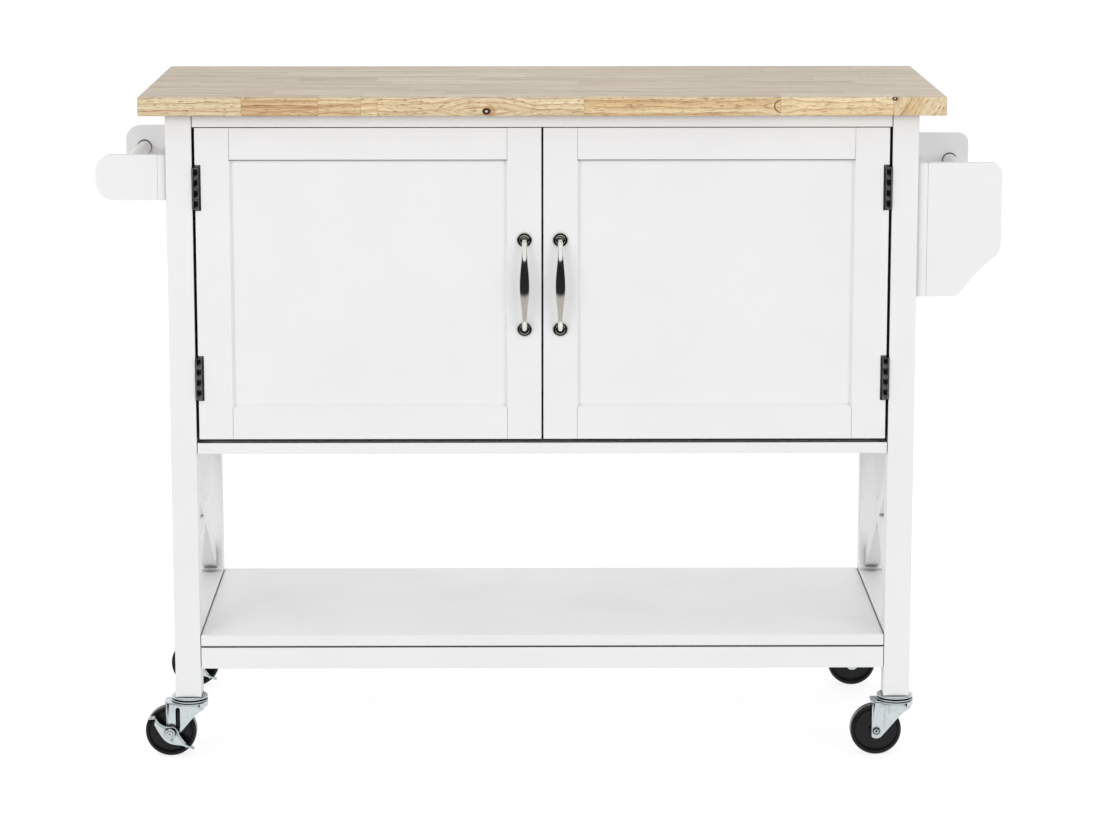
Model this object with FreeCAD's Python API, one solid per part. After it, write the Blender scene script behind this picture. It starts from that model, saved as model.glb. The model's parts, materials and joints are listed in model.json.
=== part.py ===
import FreeCAD, Part

import math
import os

# Rolling kitchen cart: a wooden worktop on four square legs, a two-door cabinet, a low open shelf with
# crossed braces at both ends, a towel rail on the left, a spice rack on the right and four casters.
# Lengths are millimetres. X runs along the cart, Y from the front (minus) to the back, Z up.
# Everything is laid out about the middle of the leg frame and shifted along X when it is written, so
# that the origin lies on the floor under the middle of the whole cart.

Vec = FreeCAD.Vector
CENTRE = Vec(0, 0, 0)
ALONG_X = Vec(1, 0, 0)
ALONG_Y = Vec(0, 1, 0)
ALONG_Z = Vec(0, 0, 1)

# Worktop
cart_height = 910.0
worktop_end_overhang = 33.0
worktop_front_overhang = 27.5
worktop_thickness = 25.0
worktop_ease = 1.5

# Leg frame
frame_width = 1004.0
frame_depth = 405.0
leg_side = 35.0
leg_ease = 1.2
board_ease = 0.8
board_end_gap = 0.8
ease_limit_share = 0.2

# Cabinet carcass
cabinet_underside_height = 424.5
cabinet_floor_thickness = 15.0
floor_channel_lip = 1.6
floor_channel_width = 14.0
floor_channel_depth = 3.0
side_panel_thickness = 15.0
back_panel_thickness = 5.0
back_panel_inset = 10.0
top_rail_height = 17.5
top_rail_depth = 60.0
inner_shelf_thickness = 15.0
inner_shelf_share = 0.5
inner_shelf_end_gap = 1.0
inner_shelf_front_gap = 20.0
shelf_pin_radius = 2.5
shelf_pin_length = 17.0
shelf_pin_hole_depth = 8.0
shelf_pin_spread = 220.0

# Low shelf and its rails
low_shelf_height = 172.0
low_shelf_thickness = 15.0
low_rail_height = 31.5
low_rail_thickness = 15.0
low_rail_line_height = 2.2
low_rail_line_depth = 5.0
side_rail_rise = 4.5

# Crossed braces
brace_width = 25.0
brace_thickness = 18.0
brace_low_gap = 4.5
brace_high_gap = 4.0
brace_screw_cover = 4.0
brace_screw_head_radius = 4.0
brace_screw_head_height = 3.0
brace_screw_radius = 2.0

# Doors
door_thickness = 18.0
door_side_gap = 3.8
door_meeting_gap = 2.6
door_top_gap = 1.0
door_bottom_gap = 5.4
door_ease = 0.6
stile_width = 45.5
rail_width = 42.5
panel_thickness = 6.0
panel_recess = 5.5
panel_tongue = 7.0
bevel_width = 3.5
rail_line_height = 1.3
rail_line_depth = 4.5
joint_line_width = 0.5
joint_line_depth = 0.6

# Butt hinges
hinge_length = 57.0
hinge_low_offset = 54.1
hinge_high_offset = 52.5
knuckle_count = 4
knuckle_radius = 4.25
knuckle_gap = 0.4
hinge_pin_radius = 2.0
hinge_pin_end = 0.8
hinge_inset = 1.0
hinge_proud = 1.0
leaf_thickness = 1.4
leaf_width = 17.0
leaf_screw_share = 0.68
leaf_screw_end_share = 0.22
notch_clearance = 0.6
notch_side_clearance = 2.6
notch_top_clearance = 3.0
notch_depth_clearance = 3.0
hinge_screw_radius = 1.5
hinge_screw_head_radius = 2.9
hinge_screw_length = 14.0

# Bow handles
handle_spacing = 121.0
handle_height_share = 0.5
rosette_radius = 10.2
rosette_thickness = 2.4
rosette_cap_radius = 7.4
rosette_cap_height = 2.0
handle_post_radius = 3.4
handle_post_reach = 10.5
handle_bow_rise = 8.5
handle_neck_width = 6.6
handle_belly_width = 13.2
handle_neck_depth = 6.0
handle_belly_depth = 7.6
handle_sections = 15
handle_belly_power = 3.4
handle_bow_power = 0.8
handle_screw_radius = 2.0
handle_screw_depth = 8.0
handle_screw_head_radius = 4.5
handle_screw_head_height = 2.4

# Magnetic catches
catch_offset = 75.0
catch_width = 44.0
catch_height = 13.0
catch_depth = 16.0
strike_width = 30.0
strike_height = 10.0
strike_thickness = 1.5
strike_drop = 1.5
catch_gap = 0.4

# Towel rail
towel_board_thickness = 12.0
towel_reach = 94.0
towel_drop = 55.5
towel_height = 60.5
towel_top_radius = 20.0
towel_bottom_radius = 25.0
towel_rod_inset = 26.6
towel_rod_drop = 30.5

# Spice rack
rack_board_thickness = 14.0
rack_reach = 113.0
rack_drop = 67.2
rack_height = 180.5
rack_top_radius = 13.5
rack_cut_width = 57.0
rack_cut_height = 61.0
rack_cut_sag = 3.4
rack_cut_top_radius = 26.0
rack_cut_bottom_radius = 15.0
rack_floor_thickness = 12.0
rack_floor_depth = 38.0
rack_rod_inset = 26.6
rack_rod_drop = 38.5

# Shared by both side fittings
end_board_thickness = 15.0
end_board_inset = 8.0
rod_radius = 9.5
rod_hole_radius = 10.4
rod_hole_depth = 9.0
rod_end_gap = 0.5
rod_seat_gap = 0.3

# Casters
wheel_diameter = 70.0
wheel_width = 22.0
wheel_shoulder = 3.5
wheel_rim_width = 4.5
wheel_face_recess = 2.2
wheel_face_slope = 1.5
hub_radius = 9.0
hub_length = 26.0
hub_slope = 2.0
caster_trail = 26.0
axle_radius = 4.0
axle_head_radius = 5.6
axle_head_height = 2.4
axle_nut_flats = 13.0
axle_nut_height = 5.5
axle_end_length = 2.0
fork_thickness = 2.5
fork_hub_gap = 0.5
fork_head_room = 4.5
fork_back_reach = 34.0
fork_back_corner = 7.0
fork_side_back = 30.4
fork_boss_radius = 10.5
fork_bend_radius = 2.4
race_radius = 25.0
race_edge = 1.2
fork_skirt_height = 5.0
fork_race_rise = 2.7
race_gap = 0.8
race_height = 4.5
stem_radius = 5.0
stem_length = 35.0
stem_hole_extra = 2.0
kingpin_radius = 6.0
kingpin_head_radius = 9.0
kingpin_head_height = 3.6
kingpin_gap = 0.3

# Brake pedals
pedal_thickness = 2.0
pedal_gap = 0.4
pedal_flange_depth = 4.5
pedal_flange_thickness = 1.6
pedal_tab_depth = 9.0
pedal_tab_thickness = 2.0
pedal_reach = 33.0
pedal_nut_gap = 0.4

# Running clearances, tool overruns and the tolerances for finding an edge again
shaft_clearance = 0.05
wheel_bore_clearance = 0.08
overrun = 1.0
place_tolerance = 0.05
parallel_tolerance_degrees = 1.0

# Shares of the fork's front edge: along from the axle to the race's front, and up from the axle
fork_front_shares = ((0.62, 0.50), (0.76, 0.655), (0.94, 0.80))
# Shares of the pedal's reach, measured from the axle: along X and up
pedal_top_shares = ((-0.60, 0.72), (-0.44, 0.47), (-0.16, 0.29), (0.22, 0.27), (0.42, -0.10), (0.66, -0.42))
pedal_bottom_shares = ((0.70, -0.67), (0.50, -0.56), (0.08, -0.50), (-0.22, -0.35), (-0.46, -0.03),
                       (-0.66, 0.33))
pedal_left_tab_shares = ((-0.86, 0.70), (-0.60, 0.72))
pedal_right_tab_shares = ((0.66, -0.42), (1.0, -0.62))

# Places that follow from the sizes above
axle_height = wheel_diameter / 2
fork_plate_low = wheel_diameter + fork_head_room
fork_plate_high = fork_plate_low + fork_thickness
fork_race_high = fork_plate_high + fork_race_rise
stem_race_low = fork_race_high + race_gap
leg_low = stem_race_low + race_height
worktop_low = cart_height - worktop_thickness
worktop_length = frame_width + 2 * worktop_end_overhang
worktop_depth = frame_depth + 2 * worktop_front_overhang
outer_x = frame_width / 2
inner_x = outer_x - leg_side
leg_x = outer_x - leg_side / 2
board_end_x = inner_x - board_end_gap
front_y = -frame_depth / 2
rear_y = frame_depth / 2
leg_y = rear_y - leg_side / 2
between_legs_y = rear_y - leg_side
top_rail_low = worktop_low - top_rail_height
cabinet_floor_low = cabinet_underside_height
cabinet_floor_high = cabinet_floor_low + cabinet_floor_thickness
back_panel_rear = rear_y - back_panel_inset
back_panel_front = back_panel_rear - back_panel_thickness
low_shelf_low = low_shelf_height - low_shelf_thickness
low_rail_low = low_shelf_low - low_rail_height
side_rail_high = low_shelf_height + side_rail_rise

door_front = front_y
door_back = front_y + door_thickness
door_low = cabinet_floor_high + door_bottom_gap
door_high = top_rail_low - door_top_gap
door_meeting_x = door_meeting_gap / 2
door_hinge_x = inner_x - door_side_gap
hinge_x = door_hinge_x - hinge_inset
hinge_y = door_front - hinge_proud
hinge_lows = (door_low + hinge_low_offset, door_high - hinge_high_offset - hinge_length)
knuckle_pitch = hinge_length / knuckle_count
panel_front = door_front + panel_recess
panel_back = panel_front + panel_thickness

handle_x = door_meeting_x + stile_width / 2
handle_mid_z = door_low + (door_high - door_low) * handle_height_share
handle_z_ends = (handle_mid_z - handle_spacing / 2, handle_mid_z + handle_spacing / 2)
rosette_front = door_front - rosette_thickness
post_front = rosette_front - handle_post_reach

inner_shelf_low = cabinet_floor_high + (top_rail_low - cabinet_floor_high) * inner_shelf_share
strike_front = door_back
strike_back = strike_front + strike_thickness
catch_front = strike_back + catch_gap

towel_out = outer_x + towel_reach
towel_board_x = outer_x + towel_board_thickness
towel_high = worktop_low - towel_drop
towel_low = towel_high - towel_height
rack_out = outer_x + rack_reach
rack_board_x = outer_x + rack_board_thickness
rack_high = worktop_low - rack_drop
rack_low = rack_high - rack_height
end_board_outer_y = rear_y - end_board_inset
end_board_inner_y = end_board_outer_y - end_board_thickness

fork_inner_y = hub_length / 2 + fork_hub_gap
fork_outer_y = fork_inner_y + fork_thickness
pedal_back_y = fork_outer_y + pedal_gap
pedal_front_y = pedal_back_y + pedal_thickness

# The cart's middle along X, measured from the middle of the leg frame
middle_x = (rack_out - towel_out) / 2


def box(x_low, x_high, y_low, y_high, z_low, z_high):
    """A block between two corners."""
    return Part.makeBox(x_high - x_low, y_high - y_low, z_high - z_low, Vec(x_low, y_low, z_low))


def eased_box(x_low, x_high, y_low, y_high, z_low, z_high, ease=board_ease):
    """A block whose edges are rounded, as a sanded and painted board has."""
    block = box(x_low, x_high, y_low, y_high, z_low, z_high)
    thinnest = min(x_high - x_low, y_high - y_low, z_high - z_low)
    return block.makeFillet(min(ease, thinnest * ease_limit_share), block.Edges)


def cylinder(radius, start, end):
    """A round bar from one point to another."""
    axis = end - start
    return Part.makeCylinder(radius, axis.Length, start, axis)


def mirrored(shape):
    """The same solid on the other side of the cart's middle plane."""
    return shape.mirror(CENTRE, ALONG_X)


def face_of(points):
    """A flat face inside a closed run of straight edges."""
    return Part.Face(Part.makePolygon(list(points) + [points[0]]))


def fused(shapes):
    """One solid made of several that overlap or touch."""
    return shapes[0].multiFuse(shapes[1:]).removeSplitter()


def upright_edges_at(solid, places, axis):
    """The edges that run along an axis through the given places."""
    found = []
    parallel = math.cos(math.radians(parallel_tolerance_degrees))
    for edge in solid.Edges:
        start = edge.firstVertex().Point
        run = edge.lastVertex().Point - start
        if run.Length < place_tolerance or abs(run.normalize().dot(axis)) < parallel:
            continue
        for place in places:
            away = start - place
            along = axis * away.dot(axis)
            if (away - along).Length < place_tolerance:
                found.append(edge)
    return found


def countersunk_screw(seat, inward, head_radius, radius, head_height, length):
    """A screw whose flat head lies at the seat and whose shank runs inward and ends in a cone."""
    head = Part.makeCone(head_radius, radius, head_height, seat, inward)
    shank = Part.makeCylinder(radius, length - radius - head_height, seat + inward * head_height, inward)
    tip = Part.makeCone(radius, 0, radius, seat + inward * (length - radius), inward)
    return fused([head, shank, tip])


def headed_screw(seat, inward, head_radius, head_height, radius, length):
    """A screw with a round head that stands proud of the seat."""
    head = Part.makeCylinder(head_radius, head_height, seat - inward * head_height, inward)
    shank = Part.makeCylinder(radius, length, seat, inward)
    return fused([head, shank])


# Worktop and leg frame


def make_worktop():
    """The wooden board on top, with its long overhangs."""
    half_length = worktop_length / 2
    half_depth = worktop_depth / 2
    return eased_box(-half_length, half_length, -half_depth, half_depth, worktop_low, cart_height,
                     worktop_ease)


def make_leg(side_x, side_y):
    """One square leg with the socket for its caster's stem."""
    x_ends = sorted((side_x * inner_x, side_x * outer_x))
    y_ends = sorted((side_y * between_legs_y, side_y * rear_y))
    leg = eased_box(x_ends[0], x_ends[1], y_ends[0], y_ends[1], leg_low, worktop_low, leg_ease)
    foot = Vec(side_x * leg_x, side_y * leg_y, leg_low)
    socket = cylinder(stem_radius, foot, foot + Vec(0, 0, stem_length + stem_hole_extra))
    return leg.cut(socket)


def make_top_rails():
    """The two rails that join the legs under the worktop, front and rear."""
    front = eased_box(-board_end_x, board_end_x, front_y, front_y + top_rail_depth,
                      top_rail_low, worktop_low)
    rear = eased_box(-board_end_x, board_end_x, rear_y - top_rail_depth, rear_y,
                     top_rail_low, worktop_low)
    return [front, rear]


# Cabinet carcass


def make_side_panel():
    """The right-hand cabinet side, between its front and rear legs."""
    outer_face = inner_x + side_panel_thickness
    return box(inner_x, outer_face, -between_legs_y, between_legs_y, cabinet_floor_low, worktop_low)


def make_shelf_pins(side_x):
    """The two pins in one cabinet side that carry the inner shelf."""
    pins = []
    for side_y in (-1, 1):
        centre = Vec(side_x * (inner_x + shelf_pin_hole_depth), side_y * shelf_pin_spread / 2,
                     inner_shelf_low - shelf_pin_radius)
        pins.append(cylinder(shelf_pin_radius, centre, centre - Vec(side_x * shelf_pin_length, 0, 0)))
    return pins


def make_back_panel():
    """The thin board that closes the cabinet's back."""
    return box(-inner_x, inner_x, back_panel_front, back_panel_rear, cabinet_floor_high, top_rail_low)


def make_cabinet_floor():
    """The cabinet's bottom board, flush with the legs, with a shadow channel under the doors."""
    board = eased_box(-board_end_x, board_end_x, front_y, rear_y, cabinet_floor_low, cabinet_floor_high)
    channel_front = front_y + floor_channel_lip
    channel = box(-door_hinge_x, door_hinge_x, channel_front, channel_front + floor_channel_width,
                  cabinet_floor_high - floor_channel_depth, cabinet_floor_high + overrun)
    return board.cut(channel)


def make_inner_shelf():
    """The loose shelf inside the cabinet."""
    half = inner_x - inner_shelf_end_gap
    front = door_back + inner_shelf_front_gap
    rear = back_panel_front - inner_shelf_end_gap
    return eased_box(-half, half, front, rear, inner_shelf_low, inner_shelf_low + inner_shelf_thickness)


# Low shelf


def make_low_shelf():
    """The open shelf near the floor."""
    return eased_box(-board_end_x, board_end_x, front_y, rear_y, low_shelf_low, low_shelf_height)


def make_low_rail(side_y):
    """The rail under the low shelf's front or rear edge, rebated along its top for a shadow line."""
    y_ends = sorted((side_y * rear_y, side_y * (rear_y - low_rail_thickness)))
    rail = eased_box(-board_end_x, board_end_x, y_ends[0], y_ends[1], low_rail_low, low_shelf_low)
    line_y = sorted((side_y * (rear_y + overrun), side_y * (rear_y - low_rail_line_depth)))
    line = box(-inner_x, inner_x, line_y[0], line_y[1], low_shelf_low - low_rail_line_height,
               low_shelf_low + overrun)
    return rail.cut(line)


def make_side_rail():
    """The right-hand rail between the front and rear legs, a little proud of the low shelf."""
    return eased_box(inner_x, outer_x, -between_legs_y, between_legs_y, low_rail_low, side_rail_high)


# Crossed braces


def brace_slope():
    """How far a brace climbs for each millimetre along Y, and its upright cut's height."""
    run = 2 * between_legs_y
    climb = cabinet_floor_low - brace_high_gap - side_rail_high - brace_low_gap
    # The upright cut is the bar's width over the cosine of its slope, so the slope is found in a few passes
    cut = brace_width
    for _ in range(20):
        slope = (climb - cut) / run
        cut = brace_width * math.sqrt(1 + slope * slope)
    return slope, cut


def make_brace_bars():
    """The right-hand pair of braces: one whole bar and two halves that butt against it."""
    slope, cut = brace_slope()
    middle_z = (side_rail_high + brace_low_gap + cabinet_floor_low - brace_high_gap) / 2
    x_low = leg_x - brace_thickness / 2
    bars = []
    for direction in (1, -1):
        corners = []
        for side_y, side_z in ((-1, -1), (1, -1), (1, 1), (-1, 1)):
            centre_z = middle_z + direction * side_y * slope * between_legs_y
            corners.append(Vec(x_low, side_y * between_legs_y, centre_z + side_z * cut / 2))
        bars.append(face_of(corners).extrude(Vec(brace_thickness, 0, 0)))
    halves = bars[1].cut(bars[0]).Solids
    return [bars[0]] + halves, middle_z - cut / 2


def make_brace_screw(crotch_z):
    """The screw driven up into the crossing from the lower crotch, ending inside the bars."""
    _, cut = brace_slope()
    seat = Vec(leg_x, 0, crotch_z)
    return headed_screw(seat, ALONG_Z, brace_screw_head_radius, brace_screw_head_height,
                        brace_screw_radius, cut - brace_screw_cover)


# Doors, made for the right-hand side and mirrored for the left


def make_door_frame():
    """The whole door frame before it is parted into stiles and rails."""
    block = eased_box(door_meeting_x, door_hinge_x, door_front, door_back, door_low, door_high, door_ease)
    flat_x = (door_meeting_x + stile_width, door_hinge_x - stile_width)
    flat_z = (door_low + rail_width, door_high - rail_width)
    sight_x = (flat_x[0] + bevel_width, flat_x[1] - bevel_width)
    sight_z = (flat_z[0] + bevel_width, flat_z[1] - bevel_width)
    window = box(sight_x[0], sight_x[1], door_front - overrun, door_back + overrun, sight_z[0], sight_z[1])
    bevel = Part.makeWedge(flat_x[0], door_front, flat_z[0], sight_z[0], sight_x[0],
                           flat_x[1], panel_front, flat_z[1], sight_z[1], sight_x[1])
    line = box(flat_x[0], flat_x[1], door_front - overrun, door_front + rail_line_depth,
               flat_z[1] - rail_line_height, flat_z[1])
    return block.cut(window).cut(bevel).cut(line).cut(make_door_panel())


def make_door_panel():
    """The flat panel held in the frame's grooves."""
    edge = bevel_width - panel_tongue
    return box(door_meeting_x + stile_width + edge, door_hinge_x - stile_width - edge,
               panel_front, panel_back, door_low + rail_width + edge, door_high - rail_width - edge)


def stile_region(x_low, x_high, bevel_x):
    """The space that one stile fills, with its bevel beside the panel."""
    column = box(x_low, x_high, door_front - overrun, door_back + overrun, door_low - overrun,
                 door_high + overrun)
    x_ends = sorted((bevel_x, x_low, x_high))
    beside = box(x_ends[0], x_ends[2], door_front - overrun, door_back + overrun, door_low + rail_width,
                 door_high - rail_width)
    return column.fuse(beside)


def make_joint_lines():
    """The fine open lines on the door's face where rails meet stiles."""
    lines = []
    for x_low in (door_meeting_x + stile_width, door_hinge_x - stile_width - joint_line_width):
        for z_low, z_high in ((door_low, door_low + rail_width), (door_high - rail_width, door_high)):
            lines.append(box(x_low, x_low + joint_line_width, door_front - overrun,
                             door_front + joint_line_depth, z_low - overrun, z_high + overrun))
    return lines


def make_hinge_notch(z_low):
    """The pocket in the door's edge round one hinge barrel."""
    return box(hinge_x - knuckle_radius - notch_side_clearance, door_hinge_x + overrun,
               door_front - overrun, hinge_y + knuckle_radius + notch_depth_clearance,
               z_low - hinge_pin_end - notch_clearance, z_low + hinge_length + notch_top_clearance)


def make_door_wood():
    """Hinge stile, meeting stile, the pair of rails and the panel of the right-hand door."""
    frame = make_door_frame()
    meeting_flat = door_meeting_x + stile_width
    hinge_flat = door_hinge_x - stile_width
    meeting_region = stile_region(door_meeting_x - overrun, meeting_flat, meeting_flat + bevel_width)
    hinge_region = stile_region(hinge_flat, door_hinge_x + overrun, hinge_flat - bevel_width)
    meeting_stile = frame.common(meeting_region)
    hinge_stile = frame.common(hinge_region)
    rails = frame.cut(meeting_region).cut(hinge_region)
    for line in make_joint_lines():
        rails = rails.cut(line)
    for z_low in hinge_lows:
        hinge_stile = hinge_stile.cut(make_hinge_notch(z_low))
        for screw in leaf_screws(z_low, door_hinge_x + leaf_thickness, -1):
            hinge_stile = hinge_stile.cut(screw)
    for screw in make_handle_screws():
        meeting_stile = meeting_stile.cut(screw)
    return hinge_stile, meeting_stile, rails.Solids, make_door_panel()


# Hinges


def knuckle(z_low, index):
    """One turn of the hinge barrel."""
    low = Vec(hinge_x, hinge_y, z_low + index * knuckle_pitch + knuckle_gap / 2)
    return cylinder(knuckle_radius, low, low + Vec(0, 0, knuckle_pitch - knuckle_gap))


def knuckle_relief(z_low, index):
    """The space kept free round the other leaf's knuckle."""
    low = Vec(hinge_x, hinge_y, z_low + index * knuckle_pitch - knuckle_gap / 2)
    return cylinder(knuckle_radius + knuckle_gap, low, low + Vec(0, 0, knuckle_pitch + knuckle_gap))


def leaf_screws(z_low, face_x, direction):
    """The countersunk screws of one leaf, from its face into the wood."""
    screws = []
    for share in (leaf_screw_end_share, 1 - leaf_screw_end_share):
        seat = Vec(face_x, hinge_y + leaf_width * leaf_screw_share, z_low + hinge_length * share)
        screws.append(countersunk_screw(seat, ALONG_X * direction, hinge_screw_head_radius,
                                        hinge_screw_radius, leaf_thickness, hinge_screw_length))
    return screws


def make_leaf(z_low, x_low, own_first, face_x, direction):
    """One hinge leaf: its plate, its own knuckles, the pin bore and the screw holes."""
    leaf = box(x_low, x_low + leaf_thickness, hinge_y, hinge_y + leaf_width, z_low, z_low + hinge_length)
    for index in range(knuckle_count):
        if index % 2 != own_first:
            leaf = leaf.cut(knuckle_relief(z_low, index))
    own = [knuckle(z_low, index) for index in range(knuckle_count) if index % 2 == own_first]
    leaf = fused([leaf] + own)
    low = Vec(hinge_x, hinge_y, z_low - overrun)
    bore = cylinder(hinge_pin_radius + shaft_clearance, low, low + Vec(0, 0, hinge_length + 2 * overrun))
    leaf = leaf.cut(bore)
    for screw in leaf_screws(z_low, face_x, direction):
        leaf = leaf.cut(screw)
    return leaf


def make_frame_leaf(z_low):
    """The leaf screwed to the leg."""
    return make_leaf(z_low, inner_x - leaf_thickness, 1, inner_x - leaf_thickness, 1)


def make_door_leaf(z_low):
    """The leaf screwed to the door's edge."""
    return make_leaf(z_low, door_hinge_x, 0, door_hinge_x + leaf_thickness, -1)


def make_hinge_pin(z_low):
    """The pin through the barrel, with its ends just proud."""
    low = Vec(hinge_x, hinge_y, z_low - hinge_pin_end)
    return cylinder(hinge_pin_radius, low, low + Vec(0, 0, hinge_length + 2 * hinge_pin_end))


# Handles and catches


def handle_section(share):
    """One level oval of the bow, by its share of the way from the lower to the upper post."""
    arch = math.sin(math.pi * share)
    belly = arch ** handle_belly_power
    width = handle_neck_width + (handle_belly_width - handle_neck_width) * belly
    depth = handle_neck_depth + (handle_belly_depth - handle_neck_depth) * belly
    y = post_front - handle_bow_rise * arch ** handle_bow_power
    z = handle_z_ends[0] + handle_spacing * share
    oval = Part.Ellipse(Vec(handle_x, y, z), width / 2, depth / 2)
    return Part.Wire(oval.toShape())


def make_handle():
    """A bow handle: two stepped rosettes, two posts and the swelling bow between them."""
    pieces = []
    for z in handle_z_ends:
        root = Vec(handle_x, door_front, z)
        base = cylinder(rosette_radius, root, Vec(handle_x, rosette_front, z))
        rim = [edge for edge in base.Edges
               if edge.Closed and abs(edge.CenterOfMass.y - rosette_front) < place_tolerance]
        base = base.makeFillet(rosette_thickness / 2, rim)
        cap = Part.makeCone(rosette_cap_radius, handle_post_radius, rosette_cap_height,
                            Vec(handle_x, rosette_front, z), -ALONG_Y)
        post = cylinder(handle_post_radius, root, Vec(handle_x, post_front, z))
        knob = Part.makeSphere(handle_post_radius, Vec(handle_x, post_front, z))
        pieces += [base, cap, post, knob]
    sections = [handle_section(index / (handle_sections - 1)) for index in range(handle_sections)]
    bow = Part.makeLoft(sections, True, False)
    handle = fused([bow] + pieces)
    for screw in make_handle_screws():
        handle = handle.cut(screw)
    return handle


def make_handle_screws():
    """The two screws from inside the door into the handle's posts."""
    length = door_thickness + handle_screw_depth
    return [headed_screw(Vec(handle_x, door_back, z), -ALONG_Y, handle_screw_head_radius,
                         handle_screw_head_height, handle_screw_radius, length) for z in handle_z_ends]


def make_catch():
    """The magnetic catch under the front top rail, behind the right-hand door."""
    half = catch_width / 2
    return eased_box(catch_offset - half, catch_offset + half, catch_front, catch_front + catch_depth,
                     top_rail_low - catch_height, top_rail_low)


def make_strike():
    """The steel plate on the door's inner face that the catch holds."""
    half = strike_width / 2
    high = door_high - strike_drop
    return box(catch_offset - half, catch_offset + half, strike_front, strike_back,
               high - strike_height, high)


# Towel rail on the left and spice rack on the right, both made on the right-hand side


def make_towel_board():
    """The board screwed to the left legs."""
    return eased_box(outer_x, towel_board_x, -end_board_outer_y, end_board_outer_y, towel_low, towel_high)


def make_towel_bracket(side_y):
    """One rounded board that carries an end of the towel rod."""
    y_low = -end_board_outer_y if side_y < 0 else end_board_inner_y
    block = box(towel_board_x, towel_out, y_low, y_low + end_board_thickness, towel_low, towel_high)
    top = upright_edges_at(block, [Vec(towel_out, 0, towel_high)], ALONG_Y)
    block = block.makeFillet(towel_top_radius, top)
    bottom = upright_edges_at(block, [Vec(towel_out, 0, towel_low)], ALONG_Y)
    block = block.makeFillet(towel_bottom_radius, bottom)
    centre = Vec(towel_out - towel_rod_inset, 0, towel_high - towel_rod_drop)
    return block.cut(rod_hole(centre, side_y))


def rod_hole(centre, side_y):
    """The blind hole for a rod's end in the inner face of an end board."""
    start = Vec(centre.x, side_y * (end_board_inner_y - overrun), centre.z)
    end = Vec(centre.x, side_y * (end_board_inner_y + rod_hole_depth), centre.z)
    return cylinder(rod_hole_radius, start, end)


def make_rod(centre_x, centre_z):
    """A round rod that lies on the bottom of its two blind holes."""
    z = centre_z - (rod_hole_radius - rod_radius - rod_seat_gap)
    half = end_board_inner_y + rod_hole_depth - rod_end_gap
    return cylinder(rod_radius, Vec(centre_x, -half, z), Vec(centre_x, half, z))


def make_rack_board():
    """The rack's back, screwed to the right legs."""
    return eased_box(outer_x, rack_board_x, -end_board_outer_y, end_board_outer_y, rack_low, rack_high)


def make_rack_end(side_y):
    """One end of the spice rack, cut away in a shallow curve at its lower outer corner."""
    y_low = -end_board_outer_y if side_y < 0 else end_board_inner_y
    cut_top = Vec(rack_out, y_low, rack_low + rack_cut_height)
    cut_bottom = Vec(rack_out - rack_cut_width, y_low, rack_low)
    chord = cut_bottom - cut_top
    inward = Vec(chord.z, 0, -chord.x).normalize()
    arc = Part.Arc(cut_top, (cut_top + cut_bottom) / 2 + inward * rack_cut_sag, cut_bottom)
    corners = [cut_bottom, Vec(rack_board_x, y_low, rack_low), Vec(rack_board_x, y_low, rack_high),
               Vec(rack_out, y_low, rack_high), cut_top]
    edges = [Part.makeLine(corners[index], corners[index + 1]) for index in range(len(corners) - 1)]
    outline = Part.Wire(edges + [arc.toShape()])
    block = Part.Face(outline).extrude(Vec(0, end_board_thickness, 0))
    for place, radius in ((Vec(rack_out, 0, rack_high), rack_top_radius), (cut_top, rack_cut_top_radius),
                          (cut_bottom, rack_cut_bottom_radius)):
        block = block.makeFillet(radius, upright_edges_at(block, [place], ALONG_Y))
    centre = Vec(rack_out - rack_rod_inset, 0, rack_high - rack_rod_drop)
    return block.cut(rod_hole(centre, side_y))


def make_rack_floor():
    """The board at the rack's bottom that jars stand on."""
    return eased_box(rack_board_x, rack_board_x + rack_floor_depth, -end_board_inner_y, end_board_inner_y,
                     rack_low, rack_low + rack_floor_thickness)


# Casters, made about a swivel axis at X = Y = 0


def make_wheel():
    """The wheel: rounded tread, rim, recessed face and long hub, turned about its axle."""
    tread = wheel_diameter / 2
    half = wheel_width / 2
    rim = tread - wheel_rim_width
    face = half - wheel_face_recess
    hub = hub_length / 2
    bore = axle_radius + wheel_bore_clearance
    shoulder_mid = wheel_shoulder * (1 - math.sqrt(2) / 2)
    half_profile = [(bore, hub), (hub_radius, hub), (hub_radius + hub_slope, face),
                    (rim - wheel_face_slope, face), (rim, half), (tread - wheel_shoulder, half)]
    points = [Vec(radius, y, 0) for radius, y in half_profile]
    back = [Vec(radius, -y, 0) for radius, y in reversed(half_profile)]
    edges = [Part.makeLine(points[index], points[index + 1]) for index in range(len(points) - 1)]
    front_edge = Vec(tread, half - wheel_shoulder, 0)
    back_edge = Vec(tread, wheel_shoulder - half, 0)
    front_mid = Vec(tread - shoulder_mid, half - shoulder_mid, 0)
    edges.append(Part.Arc(points[-1], front_mid, front_edge).toShape())
    edges.append(Part.makeLine(front_edge, back_edge))
    back_mid = Vec(tread - shoulder_mid, shoulder_mid - half, 0)
    edges.append(Part.Arc(back_edge, back_mid, back[0]).toShape())
    edges += [Part.makeLine(back[index], back[index + 1]) for index in range(len(back) - 1)]
    edges.append(Part.makeLine(back[-1], points[0]))
    wheel = Part.Face(Part.Wire(edges)).revolve(CENTRE, ALONG_Y, 360)
    wheel.translate(Vec(-caster_trail, 0, axle_height))
    return wheel


def tangent_point(place, centre, radius, side):
    """Where a line from a place touches a circle in the XZ plane, on the chosen side."""
    away = place - centre
    turn = side * math.acos(radius / away.Length)
    heading = math.atan2(away.z, away.x) + turn
    return centre + Vec(math.cos(heading), 0, math.sin(heading)) * radius


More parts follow.
